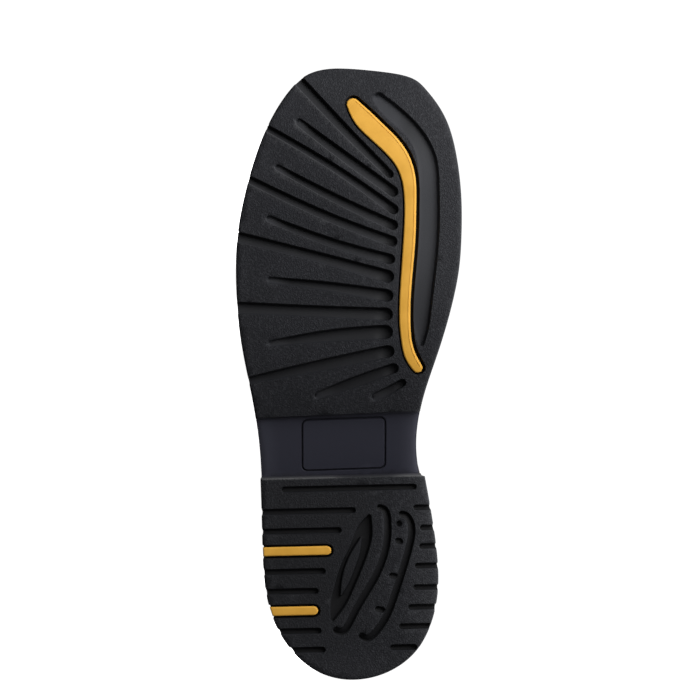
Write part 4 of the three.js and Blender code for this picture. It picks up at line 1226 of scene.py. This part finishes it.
def upper_point(level, angle):
    """The upper's outer face at a ring level and an angle, before its creases."""
    level, angle = np.broadcast_arrays(np.asarray(level, float), np.asarray(angle, float))
    follow = RING["follow"](level)
    foot = edge_at(angle, FEATHER_INSET)
    span = SOLE_LENGTH - 2 * FEATHER_INSET
    back = FEATHER_INSET + span * RING["back"](level)
    front = FEATHER_INSET + span * RING["front"](level)
    share = lerp((1 - np.cos(angle)) / 2, (foot[..., 0] - FEATHER_INSET) / span, follow)
    x = lerp(back, front, share)
    oval = -np.sin(angle) * SHAFT_WIDTH / 2
    spread = lerp(RING["heel"](level), RING["fore"](level), smooth(share, 0.15, 0.75))
    y = lerp(oval, foot[..., 1], follow) * spread
    back_up = rise_of(RING["back_up"](level), back)
    front_up = rise_of(RING["front_up"](level), front)
    straight = lerp(back_up, front_up, share)
    draped = seat_at(x) + lerp(back_up - seat_at(back), front_up - seat_at(front), share)
    near_collar = smooth(level, COLLAR_RING - 2.5, COLLAR_RING)
    front_dip = FRONT_SCALLOP * np.maximum(0, -np.cos(angle)) ** SCALLOP_CURVE
    back_dip = BACK_SCALLOP * np.maximum(0, np.cos(angle)) ** SCALLOP_CURVE
    z = lerp(straight, draped, follow) - near_collar * (front_dip + back_dip)
    return np.stack([x, y, z], -1)


def upper_normal(level, angle):
    level, angle = np.broadcast_arrays(np.asarray(level, float), np.asarray(angle, float))
    small = 0.02
    low, high = np.clip(level - small, 0, COLLAR_RING), np.clip(level + small, 0, COLLAR_RING)
    up = upper_point(high, angle) - upper_point(low, angle)
    round_it = upper_point(level, angle + small) - upper_point(level, angle - small)
    return unit(np.cross(round_it, up))


CREASE_STEPS = 14
# The crest beside a crease's trough: how many widths away, its height as a share of the depth, and how
# narrow it is
CREST_AT = 1.75
CREST_SHARE = 0.45
CREST_NARROW = 1.6
# Slow waves of the leather over the foot and the shaft, in millimetres
SWAY = 0.35


def crease_lines():
    """Each crease as points on the upper's face, with its depth and width."""
    for middle, ends, start, stop, depth, width in zip(*CREASES.values()):
        part = np.linspace(-1, 1, CREASE_STEPS)
        angle = np.radians(lerp(start, stop, (part + 1) / 2))
        yield upper_point(lerp(middle, ends, part**2), angle), depth, width


CREASE_LINES = list(crease_lines())


def crease_at(points):
    """How far the creases move each point along its normal, and how deep in a trough it lies."""
    flat = points.reshape(-1, 3)
    shift, trough = np.zeros(len(flat)), np.zeros(len(flat))
    for line, depth, width in CREASE_LINES:
        near = np.all((flat > line.min(0) - 4 * width) & (flat < line.max(0) + 4 * width), axis=1)
        if not near.any():
            continue
        step = np.diff(line, axis=0)
        share, gap = nearest_on(flat[near], line[:-1], step)
        gap = np.linalg.norm(gap, axis=-1)
        best = gap.argmin(1)
        row = np.arange(len(best))
        along = (best + share[row, best]) / len(step)
        fade = np.sin(np.pi * np.clip(along, 0, 1)) ** 0.8
        away = gap[row, best] / width
        low = np.exp(-(away**2)) * fade
        crest = np.exp(-((away - CREST_AT) ** 2) * CREST_NARROW) * fade
        shift[near] += depth * (CREST_SHARE * crest - low)
        trough[near] = np.maximum(trough[near], low * min(1.0, depth))
    x, y, z = flat.T
    sway = np.sin(x / 23 + z / 37 + 0.6) * np.sin(z / 29 - y / 31 + 1.1)
    shift += SWAY * sway * smooth(z, 60, 140)
    return shift.reshape(points.shape[:-1]), trough.reshape(points.shape[:-1])


def off_upper(level, angle, distance):
    """Points at a distance from the upper's creased face, and how deep each lies in a crease."""
    base = upper_point(level, angle)
    shift, trough = crease_at(base)
    return base + upper_normal(level, angle) * (shift + distance)[..., None], trough


UPPER_ROUND = 168
UPPER_UP = 112


def make_upper():
    angle = np.linspace(0, 2 * np.pi, UPPER_ROUND, endpoint=False)
    level = np.linspace(0, COLLAR_RING, UPPER_UP)[:, None]
    outside, trough = off_upper(level, angle, 0)
    inside, _ = off_upper(level, angle, -WALL)
    points = np.concatenate([outside, inside[::-1]]).reshape(-1, 3)
    faces = loop_faces(2 * UPPER_UP, UPPER_ROUND)
    lined = np.arange(len(faces)) >= (UPPER_UP - 1) * UPPER_ROUND
    values = {"crease": np.r_[trough.ravel(), 0 * trough.ravel()], "edge": 0}
    make_piece("upper_leather", points, faces, SHAFT_LEATHER, ["upper"], values,
               crisp=60, second=(LINING, lined))


def edge_line(table):
    """An overlay's edge in the side view: x as a function of z."""
    rows = np.stack([table["x"] * SOLE_LENGTH, table["z"] * INSTEP_HEIGHT], -1)
    knots = chord_knots(rows)
    fine = np.linspace(0, knots[-1], 200)
    x, z = Spline(knots, rows[:, 0])(fine), Spline(knots, rows[:, 1])(fine)
    return lambda height: np.interp(height, z, x)


def crossing_angle(level, side, line):
    """The angle from the back at which a ring crosses an overlay's edge, on one side of the boot."""
    low, high = np.zeros_like(level), np.full_like(level, np.pi)
    for _ in range(40):
        middle = (low + high) / 2
        point = upper_point(level, side * middle)
        behind = point[..., 0] < line(point[..., 2])
        low, high = np.where(behind, middle, low), np.where(behind, high, middle)
    return (low + high) / 2


def tip_level(line, angle):
    """The ring level at which an overlay's edge meets the boot's front or back."""
    low, high = 2.0, float(COLLAR_RING)
    for _ in range(40):
        middle = (low + high) / 2
        point = upper_point(middle, angle)
        covered = (point[0] > line(point[2])) == (angle > 1)
        low, high = (middle, high) if covered else (low, middle)
    return low


OVERLAY_FOOT = 0.85
OVERLAY_EDGE_LIFT = 0.08
OVERLAY_UNDER_LIFT = 0.04
OVERLAY_ROWS = 84
OVERLAY_COLUMNS = 96
# Rounded edge of an overlay: distance from the edge in millimetres, and share of the thickness there.
OVERLAY_RIM = columns("reach share", [(0.0, 0.0), (0.12, 0.45), (0.4, 0.8), (0.9, 0.97), (1.5, 1.0)])


def overlay_spots(line, centre, rows):
    """Levels and angles of an overlay's grid, with each point's distance from the overlay's edge."""
    tip = tip_level(line, centre)
    part = np.linspace(0, 1, rows)
    level = lerp(OVERLAY_FOOT, tip - 0.002, np.sin(part * np.pi / 2))
    outer = crossing_angle(level, 1, line)
    inner = crossing_angle(level, -1, line)
    first, last = (outer, 2 * np.pi - inner) if centre > 1 else (-inner, outer)
    share = np.linspace(0, 1, 240)
    angles = lerp(first[:, None], last[:, None], share)
    path = upper_point(level[:, None], angles)
    length = np.array([chord_knots(row) for row in path])
    found, edge = np.empty((2, rows, OVERLAY_COLUMNS))
    rim = OVERLAY_RIM["reach"]
    for i in range(rows):
        whole = length[i, -1]
        near = rim * min(1.0, whole / (4 * rim[-1]))
        middle = np.linspace(near[-1], whole - near[-1], OVERLAY_COLUMNS - 2 * len(rim) + 2)[1:-1]
        at = np.r_[near, middle, whole - near[::-1]]
        found[i] = np.interp(at, length[i], angles[i])
        edge[i] = np.minimum(at, whole - at)
    return level[:, None], found, edge


def make_overlay(name, node, line, centre):
    level, angle, edge = overlay_spots(line, centre, OVERLAY_ROWS)
    share = np.interp(edge, OVERLAY_RIM["reach"], OVERLAY_RIM["share"])
    lift = lerp(OVERLAY_EDGE_LIFT, OVERLAY_GAP + OVERLAY_THICKNESS, share)
    outside, trough = off_upper(level, angle, lift)
    inside, _ = off_upper(level, angle, OVERLAY_UNDER_LIFT)
    points = there_and_back(outside, inside).reshape(-1, 3)
    near_edge = 1 - smooth(edge, 0.3, 2.2)
    looks = {"crease": trough, "edge": near_edge}
    values = {key: there_and_back(grid, grid).ravel() for key, grid in looks.items()}
    faces = sheet_faces(OVERLAY_ROWS, 2 * OVERLAY_COLUMNS)
    make_piece(name, points, faces, FOOT_LEATHER, [node], values, crisp=50)


# Stitching
STITCH_AROUND = 6
STITCH_ALONG = 5
STITCH_PROBE = 0.3
# Pitch, length and width of each seam's stitches, in millimetres
STITCH_SIZES = {
    "overlay_stitching": (3.2, 2.5, 0.75),
    "shaft_stitching": (3.2, 2.5, 0.75),
    "strap_stitching": (3.0, 2.3, 0.7),
    "welt_stitching": (4.2, 3.5, 1.1),
}
# How far the overlays' two rows of stitches lie from their edge, and the ring levels at which they start
# and end. ROUGH_RADIUS is that of the shaft, good enough for a first guess at an angle.
SEAM_INSETS = (2.4, 5.0)
SEAM_FOOT = 1.15
SEAM_TOP = 11.2
ROUGH_RADIUS = 60.0


def stitch_form():
    """A short rounded stitch, one unit long, wide and high, lying along its first axis."""
    part = np.linspace(0, np.pi, STITCH_ALONG)
    turn = np.linspace(0, 2 * np.pi, STITCH_AROUND, endpoint=False)
    along = -np.cos(part)[:, None] * np.ones(STITCH_AROUND)
    size = (np.sin(part) ** 0.6)[:, None]
    form = np.stack([along / 2, size * np.cos(turn) / 2, size * np.sin(turn) / 2], -1).reshape(-1, 3)
    return form, grid_faces(STITCH_ALONG, STITCH_AROUND, wrap=True)


def stitch_rows(name, paths, material):
    """Stitches along paths of points and normals, joined as one mesh."""
    pitch, length, width = STITCH_SIZES[name]
    form, form_faces = stitch_form()
    form = form * (length, width, width)
    points, faces = [], []
    for path, normal in paths:
        knots = chord_knots(path)
        count = max(1, int(knots[-1] // pitch))
        at = (np.arange(count) + 0.5) * knots[-1] / count
        centre, up = read_at(path, knots, at), unit(read_at(normal, knots, at))
        ahead = read_at(path, knots, at + STITCH_PROBE) - read_at(path, knots, at - STITCH_PROBE)
        ahead = unit(ahead - up * (ahead * up).sum(-1, keepdims=True))
        for middle, axes in zip(centre, np.stack([ahead, np.cross(up, ahead), up], 1)):
            faces.extend(tuple(len(points) * len(form) + i for i in face) for face in form_faces)
            points.append(middle + form @ axes)
    make_piece(name, np.concatenate(points), faces, material)


def overlay_seams(line, centre):
    """Two rows of stitches inside an overlay's edge."""
    tip = tip_level(line, centre)
    for side in (1, -1):
        level = lerp(SEAM_FOOT, tip - 0.01, np.sin(np.linspace(0, 1, 160) * np.pi / 2))
        angle = side * crossing_angle(level, side, line)
        base = upper_point(level, angle)
        inward = np.cross(upper_normal(level, angle), unit(np.gradient(base, axis=0)))
        if (inward * (upper_point(level, centre) - base)).sum() < 0:
            inward = -inward
        for inset in SEAM_INSETS:
            flat = base + inward * inset
            guess = angle + side * (inset if centre > 1 else -inset) / ROUGH_RADIUS
            at_level, at_angle = settle(flat, level, guess)
            keep = (at_level < SEAM_TOP) & (np.abs(flat[:, 1] - flat[-1, 1]) > inset * 0.8)
            spots, _ = off_upper(at_level, at_angle, OVERLAY_GAP + OVERLAY_THICKNESS)
            yield spots[keep], upper_normal(at_level, at_angle)[keep]


def settle(points, level, angle):
    """The ring levels and angles at which the upper comes nearest to some points, from a first guess."""
    level, angle = level.copy(), angle.copy()
    small = 0.01
    for _ in range(12):
        base = upper_point(level, angle)
        by_level = (upper_point(level + small, angle) - base) / small
        by_angle = (upper_point(level, angle + small) - base) / small
        gap = points - base
        a, b, c = (by_level**2).sum(-1), (by_level * by_angle).sum(-1), (by_angle**2).sum(-1)
        p, q = (gap * by_level).sum(-1), (gap * by_angle).sum(-1)
        lack = np.maximum(a * c - b * b, 1e-6)
        level = np.clip(level + 0.8 * (c * p - b * q) / lack, 0, COLLAR_RING)
        angle = angle + 0.8 * np.clip((a * q - b * p) / lack, -0.3, 0.3)
    return level, angle


# Welt, collar, side seams and straps
# Section of the welt: distance in from its outer edge, and height, both as shares of its own sizes.
WELT_SECTION = columns("part height", [
    (0.0, 0.0),
    (0.0, 0.38),
    (0.03, 0.45),
    (0.03, 0.52),
    (0.0, 0.59),
    (0.0, 0.84),
    (0.05, 0.96),
    (0.16, 1.0),
    (0.3, 1.0),
    (0.36, 0.93),
    (0.44, 0.93),
    (0.5, 1.0),
    (1.0, 1.0),
    (1.0, 0.0),
])
# How far the welt runs in under the upper, in millimetres, and where its seam lies in the section
WELT_UNDER = 0.8
WELT_SEAM = (0.4, 0.97)


def welt_ring(angle, part, height):
    inset = lerp(WELT_INSET, FEATHER_INSET + WELT_UNDER, part)
    flat = edge_at(angle, inset)
    return np.column_stack([flat, seat_at(flat[:, 0]) + (WELT_THICKNESS + GAP) * height])


def make_welt():
    angle = even_angles(2.0)
    rings = [welt_ring(angle, part, height) for part, height in zip(*WELT_SECTION.values())]
    faces = loop_faces(len(rings), len(angle))
    make_piece("welt_strip", np.concatenate(rings), faces, WELT_LEATHER, ["welt"], crisp=50)
    seam = welt_ring(angle, *WELT_SEAM)
    seam = np.concatenate([seam, seam[:1]])
    up = np.tile([0.0, 0.0, 1.0], (len(seam), 1))
    stitch_rows("welt_stitching", [(seam, up)], PALE_THREAD)


BINDING_ROUND = 168
BINDING_SWELL = 0.35


def make_binding():
    angle = np.linspace(0, 2 * np.pi, BINDING_ROUND, endpoint=False)
    normal = upper_normal(COLLAR_RING, angle)
    rim, _ = off_upper(COLLAR_RING, angle, 0)
    half_width = WALL / 2 + BINDING_OVERHANG + BINDING_SWELL
    half_height = BINDING_HEIGHT / 2 + BINDING_SWELL
    rings = []
    for turn in np.linspace(0, 2 * np.pi, 18, endpoint=False):
        out, up = np.cos(turn), np.sin(turn)
        ring = rim + normal * (half_width * np.sign(out) * abs(out) ** 0.7 - WALL / 2)
        ring[:, 2] = rim[:, 2] + half_height * np.sign(up) * abs(up) ** 0.8 + BINDING_HEIGHT / 2
        rings.append(ring)
    faces = loop_faces(len(rings), BINDING_ROUND)
    make_piece("collar_binding_edge", np.concatenate(rings), faces, TRIM_LEATHER,
               ["collar_binding"], {"crease": 0, "edge": 0}, crisp=60)


def ring_length(level):
    return upper_point(level, np.pi)[..., 0] - upper_point(level, 0.0)[..., 0]


# Section of the side piping: share of its half width, and share of its height.
PIPING_SECTION = columns("part height", [
    (-1.0, 0.0),
    (-0.8, 0.35),
    (-0.5, 0.8),
    (-0.2, 0.98),
    (0.2, 0.98),
    (0.5, 0.8),
    (0.8, 0.35),
    (1.0, 0.0),
])
PIPING_EDGE_LIFT = 0.06
PIPING_UNDER_LIFT = 0.02
# The stitches beside the piping: how many half widths away, how far off the face and from which ring level
PIPING_SEAM = 1.75
PIPING_SEAM_LIFT = 0.12
PIPING_SEAM_START = 8.1


def make_piping(side, side_angle):
    """The piping on one side of the shaft. Gives back the paths of the stitches beside it."""
    backwards = -1 if side_angle < np.pi else 1
    index = np.arange(len(PIPING_ROUTE["level"]))
    fine = np.linspace(0, index[-1], 120)
    level, lean = np.interp(fine, index, PIPING_ROUTE["level"]), Spline(index, PIPING_ROUTE["lean"])(fine)
    reach = PIPING_WIDTH / ring_length(level)
    middle = side_angle + backwards * lean
    angle = middle[:, None] + PIPING_SECTION["part"] * reach[:, None]
    lift = lerp(PIPING_EDGE_LIFT, OVERLAY_GAP + PIPING_HEIGHT, PIPING_SECTION["height"])
    top, trough = off_upper(level[:, None], angle, lift)
    under, _ = off_upper(level[:, None], angle, PIPING_UNDER_LIFT)
    points = there_and_back(top, under).reshape(-1, 3)
    values = {"crease": there_and_back(trough, 0 * trough).ravel(), "edge": 0}
    node = "side_piping_" + side
    faces = sheet_faces(len(level), 2 * angle.shape[1])
    make_piece(node + "_seam", points, faces, TRIM_LEATHER, [node], values, crisp=50)
    keep = level > PIPING_SEAM_START
    for sign in (-1, 1):
        beside = middle + sign * PIPING_SEAM * reach
        spots, _ = off_upper(level, beside, PIPING_SEAM_LIFT)
        yield spots[keep], upper_normal(level, beside)[keep]


STRAP_STEPS = 120
STRAP_COLUMNS = 15
STRAP_SEAM = 0.86


def blurred(values):
    soft = np.array([1, 2, 3, 2, 1]) / 9
    return np.r_[values[:2], np.convolve(values, soft, "valid"), values[-2:]]


def strap_route():
    """Middle line of the strap: distance out from the shaft, height over the collar, and turn in degrees."""
    clear = BINDING_OVERHANG + GAP
    out_leg = clear + STRAP_THICKNESS / 2
    in_leg = -(WALL + clear + STRAP_THICKNESS / 2)
    bend = STRAP_BEND + STRAP_THICKNESS / 2
    bend_up = STRAP_LOOP - bend
    back_leg = out_leg - 2 * bend
    legs = [(out_leg, -STRAP_LEG, 0), (out_leg, -STRAP_LEG / 2, 0), (out_leg, 0, 0)]
    for turn in np.arange(0, 181, 22.5):
        lean = math.radians(turn)
        legs.append((out_leg - bend * (1 - math.cos(lean)), bend_up + bend * math.sin(lean), turn))
    legs += [
        ((back_leg + in_leg) / 2, STRAP_JOIN, 180 - STRAP_LEAN),
        (in_leg, -STRAP_LEG / 4, 180),
        (in_leg, -STRAP_LEG * 5 / 8, 180),
        (in_leg, -STRAP_LEG, 180),
    ]
    return np.array(legs, float)


def make_strap(side, side_angle):
    """A pull strap on one side of the collar. Gives back the paths of its stitches."""
    route = strap_route()
    knots = chord_knots(route[:, :2])
    at = np.linspace(0, knots[-1], STRAP_STEPS)
    out, up, turn = map(blurred, read_at(route, knots, at).T)
    rim = float(upper_point(COLLAR_RING, side_angle)[2])
    levels = np.linspace(COLLAR_RING - 5, COLLAR_RING, 400)
    level = np.interp(rim + np.minimum(0, up), upper_point(levels, side_angle)[:, 2], levels)
    height = upper_point(level, side_angle)[:, 2] + np.maximum(0, up)
    lean = np.radians(turn)[:, None]
    part = np.sin(np.linspace(-1, 1, STRAP_COLUMNS) * np.pi / 2)
    round_edge = np.sqrt(np.maximum(0, 1 - np.maximum(0, (np.abs(part) - 0.94) / 0.06) ** 2)) * 0.9 + 0.1
    angle = side_angle + part * STRAP_WIDTH / float(ring_length(COLLAR_RING))
    sheets = []
    for face in (1, -1):
        thick = face * STRAP_THICKNESS / 2 * round_edge
        distance = out[:, None] + thick * np.cos(lean)
        normal = upper_normal(level[:, None], angle)
        sheet = upper_point(level[:, None], angle) + normal * distance[..., None]
        sheet[..., 2] = height[:, None] + thick * np.sin(lean)
        sheets.append(sheet)
    wide = 2 * STRAP_COLUMNS
    across = np.tile(np.r_[part, part[::-1]] * STRAP_WIDTH / 2, STRAP_STEPS)
    node = "pull_strap_" + side
    make_piece(node + "_webbing", there_and_back(*sheets).reshape(-1, 3), sheet_faces(STRAP_STEPS, wide),
               WEBBING, [node], {"across": across, "along": np.repeat(at, wide)}, crisp=60)
    return strap_seams(sheets[0], part, up)


def strap_seams(outer_face, part, up):
    """Stitches on the strap's outer leg: a line near each edge and two across its foot."""
    steps = np.arange(len(up))
    leg = steps[(up < -4) & (steps < len(up) // 2)]
    paths = [
        np.array([read_at(outer_face[row], part, share) for row in leg])
        for share in (-STRAP_SEAM, STRAP_SEAM)
    ]
    across = np.linspace(-STRAP_SEAM, STRAP_SEAM, 24)
    paths += [read_at(outer_face[row], part, across) for row in (leg[1], leg[len(leg) // 3])]
    outward = np.sign(outer_face[..., 1].mean())
    return [(path, np.tile([0.0, outward, 0.0], (len(path), 1))) for path in paths]


def make_insole():
    """The insole keeps its solid and takes a soft leather finish."""
    insole = frame["nodes"]["insole"]
    insole.data.materials.clear()
    insole.data.materials.append(LINING)


COLLAR_SEAM_DROP = 0.09
COLLAR_SEAM_LIFT = 0.1


def collar_seam():
    angle = np.linspace(0, 2 * np.pi, 400)
    level = COLLAR_RING - COLLAR_SEAM_DROP
    spots, _ = off_upper(level, angle, COLLAR_SEAM_LIFT)
    return spots, upper_normal(level, angle)


def dress_upper():
    make_upper()
    vamp, counter = edge_line(VAMP_EDGE), edge_line(COUNTER_EDGE)
    make_overlay("vamp_overlay_leather", "vamp_overlay", vamp, np.pi)
    make_overlay("counter_overlay_leather", "counter_overlay", counter, 0.0)
    seams = [*overlay_seams(vamp, np.pi), *overlay_seams(counter, 0.0)]
    stitch_rows("overlay_stitching", seams, PALE_THREAD)
    make_binding()
    shaft_seams, strap_paths = [collar_seam()], []
    for side, side_angle in (("outer", np.pi / 2), ("inner", 1.5 * np.pi)):
        shaft_seams += make_piping(side, side_angle)
        strap_paths += make_strap(side, side_angle)
    stitch_rows("shaft_stitching", shaft_seams, DARK_THREAD)
    stitch_rows("strap_stitching", strap_paths, PALE_THREAD)


# Stage, light and camera
CAMERA_TARGET = (167.6, 0.76)
CAMERA_DISTANCE = 1300.0
VIEW_HEIGHT = 355.5
FLOOR_SIZE = 5.0
FILL_LIGHT = 0.11
FLOOR_GLOW = 1.0
BACKDROP = 1.05
# Each light's place and aim on the boot, in millimetres, its width in metres and its power in watts
LIGHTS = {
    "key": ((560.0, 420.0, -400.0), (190.0, 0.0, 0.0), 0.55, 5.4),
    "overhead": ((150.0, 1600.0, 600.0), (150.0, 0.0, 400.0), 3.0, 60.0),
    "shaft_fill": ((-400.0, 500.0, 1300.0), (100.0, 0.0, 150.0), 0.9, 9.0),
}


def make_stage():
    mesh = bpy.data.meshes.new("floor")
    half = FLOOR_SIZE / 2
    corners = [(-half, -half, 0), (half, -half, 0), (half, half, 0), (-half, half, 0)]
    mesh.from_pydata(corners, [], [(0, 1, 2, 3)])
    floor = bpy.data.objects.new("floor", mesh)
    bpy.context.scene.collection.objects.link(floor)
    glow = {"Emission_Color": (1, 1, 1, 1), "Emission_Strength": FLOOR_GLOW}
    paint = Paint("floor_white", Specular_IOR_Level=0.0, **glow)
    paint.finish((0.95, 0.95, 0.95, 1), 0.9)
    mesh.materials.append(paint.material)
    floor.visible_diffuse = False
    floor.visible_glossy = False


def make_world():
    """White all round to the camera, and a softer fill for the light that falls on the boot."""
    world = bpy.data.worlds.new("studio")
    bpy.context.scene.world = world
    world.use_nodes = True
    nodes, links = world.node_tree.nodes, world.node_tree.links
    fill, seen = nodes["Background"], nodes.new("ShaderNodeBackground")
    path, mix = nodes.new("ShaderNodeLightPath"), nodes.new("ShaderNodeMixShader")
    links.new(path.outputs["Is Camera Ray"], mix.inputs[0])
    for socket, (background, strength) in enumerate([(fill, FILL_LIGHT), (seen, BACKDROP)], 1):
        background.inputs["Color"].default_value = (1, 1, 1, 1)
        background.inputs["Strength"].default_value = strength
        links.new(background.outputs[0], mix.inputs[socket])
    links.new(mix.outputs[0], nodes["World Output"].inputs["Surface"])


def add_light(name, spot, target, size, power):
    """A soft square light at a place in the boot's frame."""
    light = bpy.data.lights.new(name, "AREA")
    light.size = size
    light.energy = power
    lamp = bpy.data.objects.new(name, light)
    bpy.context.scene.collection.objects.link(lamp)
    here, there = Vector(place(spot)), Vector(place(target))
    lamp.location = here
    lamp.rotation_euler = (there - here).to_track_quat("-Z", "Y").to_euler()
    lamp.visible_camera = False


def make_camera():
    camera = bpy.data.cameras.new("camera")
    camera.sensor_fit = "VERTICAL"
    camera.sensor_height = 36.0
    camera.angle = 2 * math.atan(VIEW_HEIGHT / 2 / CAMERA_DISTANCE)
    seen = bpy.data.objects.new("camera", camera)
    bpy.context.scene.collection.objects.link(seen)
    ahead, inner, up = (Vector(axis) for axis in AXES)
    turn = seen.matrix_world.to_3x3()
    turn.col[0], turn.col[1], turn.col[2] = inner, ahead, -up
    seen.matrix_world = turn.to_4x4()
    seen.location = Vector(place((*CAMERA_TARGET, -CAMERA_DISTANCE)))
    bpy.context.scene.camera = seen


make_camera()
make_stage()
make_world()
for name, (spot, target, size, power) in LIGHTS.items():
    add_light(name, spot, target, size, power)
bpy.context.scene.view_settings.view_transform = "Standard"

make_outsole()
make_inserts()
make_welt()
make_insole()
dress_upper()

bpy.context.view_layer.update()
